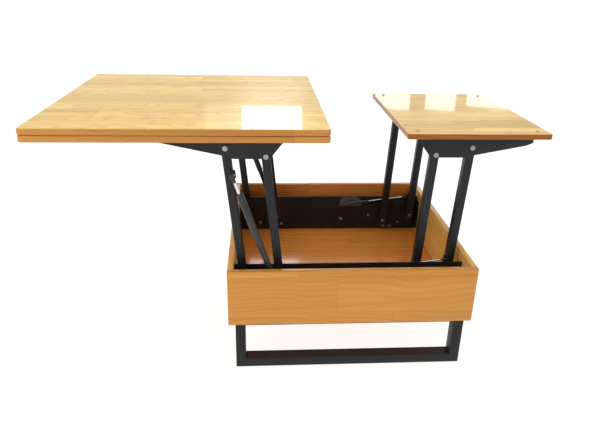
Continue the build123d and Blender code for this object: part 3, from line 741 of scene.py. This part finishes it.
LEAF_PINE = PineFinish(
    "Leaf pine, gloss lacquer", "top_pine", (0.87, 0.60, 0.18), (0.67, 0.39, 0.085), Lie.TOP,
    stave_width=0.044, stave_length=0.55, ring_pitch=0.0085, figure=0.5, contrast=0.30, knots=0.07,
    seed=3.0, painted_side_shade=(0.71, 0.45, 0.36), roughness=0.30, coat=0.42, coat_roughness=0.035,
    under_shine=0.04, crevice_shade_reach=0.02)
SMALL_TOP_PINE = PineFinish(
    "Small top pine, gloss lacquer", "top_pine", (0.82, 0.55, 0.16), (0.60, 0.33, 0.07), Lie.TOP,
    stave_width=0.042, stave_length=0.26, ring_pitch=0.008, figure=0.55, contrast=0.42, knots=0.06,
    seed=11.0, painted_side_shade=(0.44, 0.20, 0.085), roughness=0.30, coat=0.42, coat_roughness=0.04,
    under_shine=0.04)
WALL_PINE = PineFinish(
    "Box wall pine, satin lacquer", "box_pine", (0.60, 0.27, 0.045), (0.45, 0.155, 0.018),
    Lie.FRONT_WALL, stave_width=0.121, stave_length=0.50, ring_pitch=0.016, figure=0.32,
    contrast=0.12, knots=0.03, seed=5.35, roughness=0.36, coat=0.35, coat_roughness=0.14)
# Painted shade: the back wall's pine is darker and redder than the front wall's because its inner
# face lies in shade, and its outer face shows the same colour.
SHADED_BACK_PINE = PineFinish(
    "Box back pine, painted shade", "box_pine", (0.63, 0.23, 0.042), (0.45, 0.12, 0.016),
    Lie.FRONT_WALL, stave_width=0.121, stave_length=0.62, ring_pitch=0.011, figure=0.5,
    contrast=0.16, knots=0.04, seed=8.6, roughness=0.36, coat=0.35, coat_roughness=0.14)
SIDE_PINE = PineFinish(
    "Box side pine, satin lacquer", "box_pine", (0.90, 0.56, 0.16), (0.74, 0.36, 0.07),
    Lie.SIDE_WALL, stave_width=0.093, stave_length=0.48, ring_pitch=0.011, figure=0.55,
    contrast=0.20, knots=0.32, seed=2.2, roughness=0.36, coat=0.35, coat_roughness=0.14)
FLOOR_PINE = PineFinish(
    "Box floor pine, satin lacquer", "floor_pine", (0.74, 0.31, 0.055), (0.52, 0.165, 0.022),
    Lie.TOP, stave_width=0.118, stave_length=0.70, ring_pitch=0.014, figure=0.65, contrast=0.18,
    knots=0.05, seed=6.4, roughness=0.32, coat=0.5, coat_roughness=0.10)
BLOCK_PINE = PineFinish(
    "Corner block pine", "box_pine", (0.56, 0.32, 0.11), (0.42, 0.19, 0.05), Lie.UPRIGHT,
    stave_width=0.2, stave_length=0.9, ring_pitch=0.004, figure=0.6, contrast=0.1, knots=0.05,
    seed=1.0, roughness=0.45, coat=0.2, coat_roughness=0.2)
POWDER_COAT = PaintedSteel("Satin black powder coat", "black_steel", (0.0078, 0.0078, 0.0082))
LEG_COAT = PaintedSteel(
    "Leg powder coat", "black_steel", (0.0070, 0.0070, 0.0074), roughness=0.50, dust=0.07)
BLACK_OXIDE = PaintedSteel(
    "Black oxide steel", "dark_steel", (0.075, 0.075, 0.080), roughness=0.40, wear=0.5)
STRUT_PAINT = PaintedSteel(
    "Gas strut paint", "strut_black", (0.016, 0.016, 0.018), roughness=0.24, peel=300.0, wear=0.2,
    dust=0.05, coat=0.3)
ZINC = BareMetal("Bright zinc", "zinc", (0.36, 0.36, 0.34), (0.24, 0.24, 0.23), roughness=0.36)
CHROME = BareMetal(
    "Ground rod", "rod_chrome", (0.80, 0.80, 0.80), (0.70, 0.70, 0.71), roughness=0.12,
    grain=(900.0, 900.0, 900.0))
PLUG_PLASTIC = Moulded("Black plug plastic", "black_plastic", (0.020, 0.020, 0.020))
NYLON = Moulded("Natural nylon", "nylon", (0.66, 0.64, 0.57), roughness=0.4)
GLIDE_RUBBER = Moulded(
    "Glide rubber", "glide_rubber", (0.03, 0.03, 0.03), roughness=0.7, texture=500.0)
CLEAR_SOFT = ClearSoft("Clear bumper", "clear_bumper", (0.86, 0.83, 0.74))


# --- Shop: the tools that every sub-assembly uses ---------------------------------------


@dataclass(frozen=True)
class Fastener:
    """One bolt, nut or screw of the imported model."""

    seat: Vector
    direction: Vector
    reach: float
    head_radius: float
    head_height: float
    is_nut: bool


class Shop:
    """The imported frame, the shared effects, and the ways in which pieces are made from them."""

    def __init__(self, frame: dict[str, Any]) -> None:
        """Keep the frame and build the shared effects.
        """
        self.nodes: dict[str, bpy.types.Object] = frame["nodes"]
        self.effects = Effects(build_pine_group(), build_edge_group(), build_dust_group())
        self.made = 0

    def paint(self, finish: Finish, *names: str) -> None:
        """Give CAD nodes a finish on their own material slots.

        Args:
            finish: The finish.
            names: The nodes.
        """
        material = finish.material(self.effects)
        for name in names:
            mesh = self.nodes[name].data
            if not mesh.materials:
                mesh.materials.append(material)
            for index in range(len(mesh.materials)):
                mesh.materials[index] = material
            log.info("%s: %s", name, finish.name)

    def install(self, piece: bpy.types.Object, finish: Finish, *names: str) -> bpy.types.Object:
        """Put a finished piece in the place of CAD nodes.

        Args:
            piece: The piece, with its place in its mesh.
            finish: Its finish.
            names: The nodes that it stands for, all on one body.

        Returns:
            The same piece.
        """
        if not piece.data.materials:
            piece.data.materials.append(finish.material(self.effects))
        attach(piece, self.nodes[names[0]]["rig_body"])
        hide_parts(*names)
        self.made += 1
        log.info("%s stands for %s: %s", piece.name, ", ".join(names), finish.name)
        return piece

    def merged(self, name: str) -> bmesh.types.BMesh:
        """Copy a CAD node with its loose triangles joined and its flat faces whole.

        Args:
            name: The node.

        Returns:
            The copy.
        """
        copy = bmesh.new()
        copy.from_mesh(self.nodes[name].data)
        bmesh.ops.remove_doubles(copy, verts=copy.verts[:], dist=MERGE_DISTANCE)
        bmesh.ops.dissolve_limit(copy, angle_limit=FLAT_ANGLE, verts=copy.verts[:],
                                 edges=copy.edges[:])
        return copy

    def soften(self, finish: Finish, radius: float, least: float, *names: str,
               segments: int = 3) -> None:
        """Replace CAD nodes by copies whose long outer edges are rounded.

        Args:
            finish: Their finish.
            radius: The rounding's radius.
            least: The shortest edge that is rounded.
            names: The nodes.
            segments: How many steps the rounding has.
        """
        for name in names:
            copy = self.merged(name)
            edges = [edge for edge in copy.edges
                     if edge.is_manifold and edge.calc_length() > least and edge.is_convex
                     and edge.calc_face_angle(0.0) > ROUNDED_ANGLE]
            bmesh.ops.bevel(copy, geom=edges, offset=radius, offset_type="OFFSET",
                            segments=segments, profile=0.5, affect="EDGES", clamp_overlap=True)
            self.install(mesh_piece(f"soft_{name}", copy), finish, name)

    def fasteners(self, name: str, axis: Axis) -> list[Fastener]:
        """Find every bolt, nut or screw of a CAD node.

        Args:
            name: The node.
            axis: The line that they point along.

        Returns:
            One entry for each separate solid.
        """
        copy = bmesh.new()
        copy.from_mesh(self.nodes[name].data)
        bmesh.ops.remove_doubles(copy, verts=copy.verts[:], dist=MERGE_DISTANCE)
        found = [read_fastener(np.array(points), axis.value) for points in islands(copy)]
        copy.free()
        return sorted(found, key=lambda item: tuple(round(part, 4) for part in item.seat))


def islands(copy: bmesh.types.BMesh) -> Iterable[list[tuple[float, float, float]]]:
    """Split a mesh into its joined-up pieces.

    Args:
        copy: The mesh.

    Returns:
        The points of one piece after another.
    """
    copy.verts.ensure_lookup_table()
    seen = [False] * len(copy.verts)
    for start in copy.verts:
        if seen[start.index]:
            continue
        seen[start.index] = True
        queue, points = [start], []
        while queue:
            vertex = queue.pop()
            points.append(tuple(vertex.co))
            for edge in vertex.link_edges:
                other = edge.other_vert(vertex)
                if not seen[other.index]:
                    seen[other.index] = True
                    queue.append(other)
        yield points


def read_fastener(points: np.ndarray, axis: int) -> Fastener:
    """Measure one bolt, nut or screw.

    Args:
        points: Its points.
        axis: The index of the axis that it lies along.

    Returns:
        Where its head sits, which way its head points, how far its shank reaches, and its
        head's size.
    """
    low, high = points.min(0), points.max(0)
    centre = (low + high) / 2
    flat = [index for index in range(3) if index != axis]
    radii = np.hypot(*(points[:, index] - centre[index] for index in flat))
    rim = points[radii > HEAD_SHARE * radii.max(), axis]
    near_low, near_high = rim.min() - low[axis], high[axis] - rim.max()
    at_high = near_high < near_low
    seat = rim.min() if at_high else rim.max()
    is_nut = near_low < NUT_MARGIN and near_high < NUT_MARGIN
    direction, place = np.zeros(3), centre.copy()
    direction[axis] = 1.0 if at_high else -1.0
    place[axis] = low[axis] if is_nut else seat
    if is_nut:
        direction[axis] = 1.0
    above, below = high[axis] - seat, seat - low[axis]
    height = high[axis] - low[axis] if is_nut else (above if at_high else below)
    reach = 0.0 if is_nut else (below if at_high else above)
    return Fastener(Vector(place), Vector(direction), float(reach), float(radii.max()),
                    float(height), bool(is_nut))


def mesh_piece(name: str, copy: bmesh.types.BMesh) -> bpy.types.Object:
    """Make an object of a finished mesh, smooth over its roundings.

    Args:
        name: The object's name.
        copy: The mesh, which is used up.

    Returns:
        The object, at the origin.
    """
    mesh = bpy.data.meshes.new(name)
    copy.to_mesh(mesh)
    copy.free()
    mesh.shade_smooth()
    mesh.set_sharp_from_angle(angle=SHARP_ANGLE)
    piece = bpy.data.objects.new(name, mesh)
    bpy.context.scene.collection.objects.link(piece)
    return piece


# --- Geometry Nodes: fasteners ----------------------------------------------------------


class FastenerTree:
    """Geometry Nodes that stand a fastener on each point of a mesh.

    A point carries the direction of its head and the reach of its shank.
    """

    def __init__(self, name: str, recess: Optional[Recess]) -> None:
        """Build the tree.

        Args:
            name: The tree's name.
            recess: How the heads are driven, or None for nuts.
        """
        self.tree = bpy.data.node_groups.new(name, "GeometryNodeTree")
        self.sheet = NodeSheet(self.tree)
        face = self.tree.interface
        face.new_socket(name="Geometry", in_out="INPUT", socket_type="NodeSocketGeometry")
        for label in ("Head Radius", "Head Height", "Shank Radius", "Washer Height", "Recess Size"):
            face.new_socket(name=label, in_out="INPUT", socket_type="NodeSocketFloat")
        face.new_socket(name="Seed", in_out="INPUT", socket_type="NodeSocketInt")
        face.new_socket(name="Material", in_out="INPUT", socket_type="NodeSocketMaterial")
        face.new_socket(name="Geometry", in_out="OUTPUT", socket_type="NodeSocketGeometry")
        self.given = self.sheet.add("NodeGroupInput").outputs
        head = self.nut() if recess is None else self.head(recess)
        parts = [self.stand(head, 1.0)]
        if recess is not None:
            parts.append(self.stand(self.shank(), self.named("reach", "FLOAT")))
        joined = self.sheet.add("GeometryNodeJoinGeometry")
        for part in parts:
            self.sheet.tree.links.new(part, joined.inputs[0])
        realised = self.sheet.fill(self.sheet.add("GeometryNodeRealizeInstances"),
                                   Geometry=joined.outputs[0])
        painted = self.sheet.fill(self.sheet.add("GeometryNodeSetMaterial"),
                                  Geometry=realised.outputs[0], Material=self.given["Material"])
        output = self.sheet.add("NodeGroupOutput")
        self.sheet.feed(output.inputs[0], painted.outputs[0])

    def named(self, label: str, kind: str) -> bpy.types.NodeSocket:
        """Read a point's own value.

        Args:
            label: The attribute's name.
            kind: Its data type.

        Returns:
            Its socket.
        """
        node = self.sheet.add("GeometryNodeInputNamedAttribute", data_type=kind)
        node.inputs["Name"].default_value = label
        return node.outputs["Attribute"]

    def lifted(self, mesh: bpy.types.NodeSocket, height: Value,
               turn: float = 0.0) -> bpy.types.NodeSocket:
        """Raise a shape along Z.

        Args:
            mesh: The shape.
            height: How far up.
            turn: How far it is turned about Z.

        Returns:
            The moved shape's socket.
        """
        node = self.sheet.add("GeometryNodeTransform")
        self.sheet.fill(node, Geometry=mesh, Translation=self.sheet.vector(0.0, 0.0, height),
                        Rotation=(0.0, 0.0, turn))
        return node.outputs[0]

    def bar(self, sides: int, radius: Value, depth: Value) -> bpy.types.NodeSocket:
        """Make an upright bar that is centred on the origin.

        Args:
            sides: How many sides it has.
            radius: Its radius.
            depth: Its height.

        Returns:
            Its socket.
        """
        node = self.sheet.add("GeometryNodeMeshCylinder", fill_type="NGON")
        self.sheet.fill(node, Vertices=sides, Radius=radius, Depth=depth)
        return node.outputs["Mesh"]

    def cut(self, operation: str, first: bpy.types.NodeSocket,
            *others: bpy.types.NodeSocket) -> bpy.types.NodeSocket:
        """Combine closed shapes.

        Args:
            operation: INTERSECT, UNION or DIFFERENCE.
            first: The shape that a difference cuts from.
            others: The other shapes.

        Returns:
            The result's socket.
        """
        node = self.sheet.add("GeometryNodeMeshBoolean", operation=operation)
        shapes = others if operation == "DIFFERENCE" else (first, *others)
        if operation == "DIFFERENCE":
            self.sheet.feed(node.inputs[0], first)
        for shape in shapes:
            self.sheet.tree.links.new(shape, node.inputs[1])
        return node.outputs[0]

    def head(self, recess: Recess) -> bpy.types.NodeSocket:
        """Make a domed head with its recess, on a washer where it has one.

        Args:
            recess: How it is driven.

        Returns:
            Its socket.
        """
        sheet, given = self.sheet, self.given
        washer_height = given["Washer Height"]
        dome_height = sheet.minus(given["Head Height"], washer_height)
        dome_radius = sheet.times(given["Head Radius"], DOME_SHARE)
        ball = sheet.fill(sheet.add("GeometryNodeMeshUVSphere"), Segments=DOME_SIDES,
                          Rings=DOME_RINGS, Radius=1.0)
        wide = sheet.times(dome_radius, BALL_SHARE)
        scaled = sheet.fill(sheet.add("GeometryNodeTransform"), Geometry=ball.outputs["Mesh"],
                            Scale=sheet.vector(wide, wide, dome_height))
        body = self.lifted(self.bar(DOME_SIDES, dome_radius, dome_height),
                           sheet.times(dome_height, 0.5))
        dome = self.cut("INTERSECT", body, scaled.outputs[0])
        depth = sheet.times(dome_height, RECESS_DEPTH)
        size = given["Recess Size"]
        if recess is Recess.HEXAGON:
            tool = [self.lifted(self.bar(HEXAGON_SIDES, size, depth), dome_height)]
        else:
            tool = []
            for turn in (0.0, math.pi / 2):
                slot = sheet.add("GeometryNodeMeshCube")
                sheet.feed(slot.inputs["Size"], sheet.vector(sheet.times(size, SLOT_LENGTH),
                                                             sheet.times(size, SLOT_WIDTH), depth))
                tool.append(self.lifted(slot.outputs[0], dome_height, turn))
        dome = self.lifted(self.cut("DIFFERENCE", dome, *tool), washer_height)
        washer = self.lifted(self.bar(DOME_SIDES, given["Head Radius"], washer_height),
                             sheet.times(washer_height, 0.5))
        joined = sheet.add("GeometryNodeJoinGeometry")
        sheet.tree.links.new(dome, joined.inputs[0])
        sheet.tree.links.new(washer, joined.inputs[0])
        return joined.outputs[0]

    def shank(self) -> bpy.types.NodeSocket:
        """Make a shank one metre long below the seat, to be scaled to its reach."""
        return self.lifted(self.bar(SHANK_SIDES, self.given["Shank Radius"], 1.0), -0.5)

    def nut(self) -> bpy.types.NodeSocket:
        """Make a hexagon nut with chamfered corners and a bore.

        Returns:
            Its socket.
        """
        sheet, given = self.sheet, self.given
        height = given["Head Height"]
        middle = sheet.times(height, 0.5)
        prism = self.lifted(self.bar(HEXAGON_SIDES, given["Head Radius"], height), middle)
        ball = sheet.fill(sheet.add("GeometryNodeMeshUVSphere"), Segments=CHAMFER_SIDES,
                          Rings=CHAMFER_RINGS, Radius=1.0)
        wide = sheet.times(given["Head Radius"], CHAMFER_SHARE)
        tall = sheet.times(height, CHAMFER_HEIGHT)
        scaled = sheet.fill(sheet.add("GeometryNodeTransform"), Geometry=ball.outputs["Mesh"],
                            Translation=sheet.vector(0.0, 0.0, middle),
                            Scale=sheet.vector(wide, wide, tall))
        drill = self.bar(BORE_SIDES, given["Shank Radius"], sheet.times(height, BORE_LENGTH))
        bore = self.lifted(drill, middle)
        return self.cut("DIFFERENCE", self.cut("INTERSECT", prism, scaled.outputs[0]), bore)

    def stand(self, shape: bpy.types.NodeSocket, stretch: Value) -> bpy.types.NodeSocket:
        """Stand a shape on every point, turned to the point's direction and spun at random.

        Args:
            shape: The shape.
            stretch: How much it is stretched along its length.

        Returns:
            The instances' socket.
        """
        sheet = self.sheet
        aligned = sheet.add("FunctionNodeAlignRotationToVector", axis="Z")
        sheet.feed(aligned.inputs["Vector"], self.named("direction", "FLOAT_VECTOR"))
        spin = sheet.add("FunctionNodeRandomValue", data_type="FLOAT")
        sheet.feed(spin.inputs[2], 0.0)
        sheet.feed(spin.inputs[3], math.tau)
        sheet.feed(spin.inputs["Seed"], self.given["Seed"])
        local = sheet.add("FunctionNodeAxisAngleToRotation")
        sheet.feed(local.inputs["Axis"], (0.0, 0.0, 1.0))
        sheet.feed(local.inputs["Angle"], spin.outputs[1])
        turned = sheet.add("FunctionNodeRotateRotation", rotation_space="LOCAL")
        sheet.feed(turned.inputs[0], aligned.outputs[0])
        sheet.feed(turned.inputs[1], local.outputs[0])
        placed = sheet.add("GeometryNodeInstanceOnPoints")
        sheet.fill(placed, Points=self.given["Geometry"], Instance=shape,
                   Rotation=turned.outputs[0], Scale=sheet.vector(1.0, 1.0, stretch))
        return placed.outputs[0]


@dataclass
class FastenerRow:
    """The bolts and nuts, or the screws, of one CAD node."""

    node: str
    axis: Axis
    recess: Recess
    shank_radius: float
    washer_height: float
    recess_size: float
    finish: Finish = ZINC
    seed: int = 7

    def build(self, shop: Shop, trees: dict[str, FastenerTree]) -> None:
        """Make the node's fasteners as one mesh.

        Args:
            shop: The frame and the effects.
            trees: A tree for each recess, and one for nuts.
        """
        found = shop.fasteners(self.node, self.axis)
        heads = [item for item in found if not item.is_nut]
        nuts = [item for item in found if item.is_nut]
        meshes = []
        if heads:
            meshes.append(self.run(trees[self.recess.value], heads, shop))
        if nuts:
            meshes.append(self.run(trees["nut"], nuts, shop))
        joined = bmesh.new()
        for mesh in meshes:
            joined.from_mesh(mesh)
        piece = mesh_piece(f"fitted_{self.node}", joined)
        shop.install(piece, self.finish, self.node)

    def run(self, tree: FastenerTree, items: list[Fastener], shop: Shop) -> bpy.types.Mesh:
        """Run a tree over the places of some fasteners.

        Args:
            tree: The tree.
            items: The fasteners.
            shop: The frame and the effects.

        Returns:
            The plain mesh that it makes.
        """
        points = bpy.data.meshes.new("places")
        points.from_pydata([tuple(item.seat) for item in items], [], [])
        facing = points.attributes.new("direction", "FLOAT_VECTOR", "POINT")
        facing.data.foreach_set("vector", [part for item in items for part in item.direction])
        reach = points.attributes.new("reach", "FLOAT", "POINT")
        reach.data.foreach_set("value", [item.reach for item in items])
        holder = bpy.data.objects.new("holder", points)
        bpy.context.scene.collection.objects.link(holder)
        modifier = holder.modifiers.new("Fasteners", "NODES")
        modifier.node_group = tree.tree
        settings = {"Head Radius": max(item.head_radius for item in items),
                    "Head Height": max(item.head_height for item in items),
                    "Shank Radius": self.shank_radius, "Washer Height": self.washer_height,
                    "Recess Size": self.recess_size, "Seed": self.seed,
                    "Material": self.finish.material(shop.effects)}
        for socket in tree.tree.interface.items_tree:
            if socket.in_out == "INPUT" and socket.name in settings:
                modifier[socket.identifier] = settings[socket.name]
        graph = bpy.context.evaluated_depsgraph_get()
        mesh = bpy.data.meshes.new_from_object(holder.evaluated_get(graph))
        holder.modifiers.remove(modifier)
        bpy.data.objects.remove(holder)
        return mesh


# --- Sub-assemblies ---------------------------------------------------------------------


@dataclass
class StorageBox:
    """The pine box, its floor and its corner blocks."""

    edge_round: float = 0.0013
    block_round: float = 0.0010
    least_edge: float = 0.010

    def build(self, shop: Shop) -> None:
        """Round the boards' edges and lay their grain.

        Args:
            shop: The frame and the effects.
        """
        shop.soften(WALL_PINE, self.edge_round, self.least_edge, "front_panel")
        shop.soften(SHADED_BACK_PINE, self.edge_round, self.least_edge, "back_panel")
        shop.soften(SIDE_PINE, self.edge_round, self.least_edge, "left_panel", "right_panel")
        shop.soften(BLOCK_PINE, self.block_round, self.least_edge, "corner_blocks")
        shop.paint(FLOOR_PINE, "floor_panel")


@dataclass
class LegFrames:
    """Two tube frames with their straps and glides."""

    tube_round: float = 0.0026
    strap_round: float = 0.0006
    least_edge: float = 0.029

    def build(self, shop: Shop) -> None:
        """Round the tubes' corners as drawn tube has them.

        Args:
            shop: The frame and the effects.
        """
        shop.soften(LEG_COAT, self.tube_round, self.least_edge, "front_leg_frame", "back_leg_frame")
        shop.soften(LEG_COAT, self.strap_round, self.least_edge, "leg_straps")
        shop.paint(GLIDE_RUBBER, "foot_glides")


@dataclass
class Mechanism:
    """Side plates, pivot plates, spacers and strut mounts in the box."""

    plate_round: float = 0.0006
    least_edge: float = 0.015

    def build(self, shop: Shop) -> None:
        """Break the plates' edges.

        Args:
            shop: The frame and the effects.
        """
        shop.soften(POWDER_COAT, self.plate_round, self.least_edge, "front_side_plate",
                    "back_side_plate", "left_pivot_plates", "right_pivot_plates", "plate_end_tabs",
                    segments=2)
        shop.paint(BLACK_OXIDE, "right_strut_mounts", "lower_pivot_spacers", "plate_standoffs")


@dataclass
class LiftArms:
    """Eight square tube arms with their plugs and bushes."""

    tube_round: float = 0.0024
    plug_round: float = 0.0008
    least_tube_edge: float = 0.030
    least_plug_edge: float = 0.022

    def build(self, shop: Shop) -> None:
        """Round the tubes and the plugs' caps, and paint the bushes.

        Args:
            shop: The frame and the effects.
        """
        for pair in ("left_outer", "left_inner", "right_outer", "right_inner"):
            shop.soften(POWDER_COAT, self.tube_round, self.least_tube_edge,
                        f"front_{pair}_arm", f"back_{pair}_arm")
            shop.soften(PLUG_PLASTIC, self.plug_round, self.least_plug_edge, f"{pair}_arm_plugs")
            shop.paint(NYLON, f"{pair}_arm_bushes")


@dataclass
class Tops:
    """The two leaves, the small top, their brackets, hinges and bumpers."""

    bracket_round: float = 0.0006
    least_edge: float = 0.015

    def build(self, shop: Shop) -> None:
        """Lay the staves of the tops and finish what carries them.

        Args:
            shop: The frame and the effects.
        """
        shop.paint(LEAF_PINE, "lower_leaf", "upper_leaf")
        shop.paint(SMALL_TOP_PINE, "small_top")
        for side in ("front", "back"):
            shop.soften(POWDER_COAT, self.bracket_round, self.least_edge, f"{side}_left_bracket",
                        f"{side}_right_bracket", segments=2)
        shop.paint(ZINC, "leaf_hinge_plates", "leaf_hinge_flaps", "leaf_hinge_pins")
        shop.paint(CLEAR_SOFT, "top_bumpers")


@dataclass
class GasStruts:
    """Four gas struts."""

    sides: tuple[str, str] = ("left", "right")

    def build(self, shop: Shop) -> None:
        """Paint the cylinders and end fittings, and polish the rods.

        Args:
            shop: The frame and the effects.
        """
        for side in self.sides:
            shop.paint(STRUT_PAINT, f"{side}_strut_cylinders", f"{side}_strut_end_fittings")
            shop.paint(CHROME, f"{side}_strut_rods")


@dataclass
class Fasteners:
    """Every bolt, nut and screw."""

    bolt_shank: float = 0.0040
    small_bolt_shank: float = 0.0030
    screw_shank: float = 0.0020
    washer: float = 0.0009
    small_washer: float = 0.0007
    screw_rim: float = 0.0002
    hexagon: float = 0.0029
    small_hexagon: float = 0.0022
    cross: float = 0.0024

    def build(self, shop: Shop) -> None:
        """Run the fastener trees over each node of fasteners.

        Args:
            shop: The frame and the effects.
        """
        trees = {recess.value: FastenerTree(f"Heads, {recess.value} recess", recess)
                 for recess in Recess}
        trees["nut"] = FastenerTree("Nuts", None)
        bolt = (Recess.HEXAGON, self.bolt_shank, self.washer, self.hexagon)
        small_bolt = (Recess.HEXAGON, self.small_bolt_shank, self.small_washer, self.small_hexagon)
        screw = (Recess.CROSS, self.screw_shank, self.screw_rim, self.cross)
        for node, axis, kind in (
            ("lower_pivot_bolts", Axis.Y, bolt), ("left_top_pivot_bolts", Axis.Y, bolt),
            ("right_top_pivot_bolts", Axis.Y, bolt), ("standoff_bolts", Axis.Y, bolt),
            ("pivot_plate_bolts", Axis.Y, small_bolt), ("leg_screws", Axis.Z, screw),
            ("left_bracket_screws", Axis.Z, screw), ("right_bracket_screws", Axis.Z, screw),
            ("tab_screws", Axis.X, screw),
        ):
            FastenerRow(node, axis, *kind).build(shop, trees)


# --- Studio -----------------------------------------------------------------------------


@dataclass(frozen=True)
class Lamp:
    """A rectangular soft light that faces a point."""

    name: str
    place: tuple[float, float, float]
    target: tuple[float, float, float]
    width: float
    height: float
    power: float
    colour: Colour = WHITE

    def build(self) -> None:
        """Hang the light."""
        data = bpy.data.lights.new(self.name, "AREA")
        data.shape = "RECTANGLE"
        data.size, data.size_y = self.width, self.height
        data.energy = self.power
        data.color = self.colour
        lamp = bpy.data.objects.new(self.name, data)
        bpy.context.scene.collection.objects.link(lamp)
        lamp.location = self.place
        aim = Vector(self.target) - Vector(self.place)
        lamp.rotation_mode = "QUATERNION"
        lamp.rotation_quaternion = aim.to_track_quat("-Z", "Y")


@dataclass
class Studio:
    """A pale floor, a white surround, soft lights and the camera."""

    floor_half: float = 40.0
    surround: float = 0.72
    eye: tuple[float, float, float] = (-0.11459, -1.84134, 1.15898)
    yaw: float = 0.073995
    pitch: float = 0.401805
    roll: float = 0.023419
    sensor: float = 36.0
    focal_share: float = 0.95435
    floor_grey: float = 0.36
    floor_glow: float = 0.80
    floor_shine: float = 0.2
    floor_roughness: float = 0.8

    def build(self) -> None:
        """Set the studio up."""
        self.build_floor()
        self.build_surround()
        for lamp in (
            Lamp("window", (-0.02, 2.75, 1.86), (-0.05, -0.3, 0.77), 0.50, 0.86, 7.0),
            Lamp("window side pane", (-0.42, 2.80, 1.80), (-0.2, -0.3, 0.77), 0.30, 0.76, 0.45),
            Lamp("key", (-2.1, -2.0, 1.5), (-0.2, -0.3, 0.35), 1.6, 1.4, 22.0, (1.0, 0.985, 0.96)),
            Lamp("overhead", (0.3, 0.2, 3.4), (0.1, 0.0, 0.4), 2.6, 2.6, 28.0),
            Lamp("far pane, left", (0.96, 2.75, 1.29), (0.30, 0.2, 0.73), 0.28, 0.13, 0.40),
            Lamp("far pane, middle", (1.36, 2.75, 1.29), (0.50, 0.2, 0.73), 0.24, 0.14, 0.36),
            Lamp("far pane, right", (1.76, 2.75, 1.28), (0.70, 0.2, 0.73), 0.34, 0.11, 0.42),
        ):
            lamp.build()
        self.build_camera()

    def build_floor(self) -> None:
        """Lay the floor."""
        half = self.floor_half
        mesh = bpy.data.meshes.new("floor")
        corners = [(-half, -half, 0), (half, -half, 0), (half, half, 0), (-half, half, 0)]
        mesh.from_pydata(corners, [], [(0, 1, 2, 3)])
        floor = bpy.data.objects.new("floor", mesh)
        bpy.context.scene.collection.objects.link(floor)
        material = bpy.data.materials.new("Pale floor")
        material.use_nodes = True
        shader = material.node_tree.nodes["Principled BSDF"]
        shader.inputs["Base Color"].default_value = (*(self.floor_grey,) * 3, 1.0)
        shader.inputs["Emission Color"].default_value = (*WHITE, 1.0)
        shader.inputs["Emission Strength"].default_value = self.floor_glow
        shader.inputs["Specular IOR Level"].default_value = self.floor_shine
        shader.inputs["Roughness"].default_value = self.floor_roughness
        mesh.materials.append(material)

    def build_surround(self) -> None:
        """Light everything evenly from all round."""
        world = bpy.data.worlds.new("surround")
        world.use_nodes = True
        back = world.node_tree.nodes["Background"]
        back.inputs["Color"].default_value = (*WHITE, 1.0)
        back.inputs["Strength"].default_value = self.surround
        bpy.context.scene.world = world
        bpy.context.scene.view_settings.view_transform = "Standard"

    def build_camera(self) -> None:
        """Stand the camera in its place, looking the right way."""
        reach = math.cos(self.pitch)
        forward = Vector((math.sin(self.yaw) * reach, math.cos(self.yaw) * reach,
                          -math.sin(self.pitch)))
        level = Vector((math.cos(self.yaw), -math.sin(self.yaw), 0.0))
        upright = level.cross(forward)
        right = level * math.cos(self.roll) + upright * math.sin(self.roll)
        up = upright * math.cos(self.roll) - level * math.sin(self.roll)
        data = bpy.data.cameras.new("camera")
        data.sensor_width = self.sensor
        data.lens = self.sensor * self.focal_share
        data.clip_start, data.clip_end = 0.05, 100.0
        camera = bpy.data.objects.new("camera", data)
        bpy.context.scene.collection.objects.link(camera)
        turned = Matrix((right, up, -forward)).transposed()
        camera.matrix_world = Matrix.Translation(self.eye) @ turned.to_4x4()
        bpy.context.scene.camera = camera


def main() -> None:
    """Build the table's looks in order."""
    logging.basicConfig(level=logging.INFO, format="%(name)s: %(message)s")
    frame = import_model()
    shop = Shop(frame)
    for assembly in (StorageBox(), LegFrames(), Mechanism(), LiftArms(), Tops(), GasStruts(),
                     Fasteners()):
        assembly.build(shop)
        log.info("%s built", type(assembly).__name__)
    Studio().build()
    bpy.context.view_layer.update()
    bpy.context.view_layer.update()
    log.info("%d pieces stand for CAD nodes", shop.made)


if __name__ == "__main__":
    main()
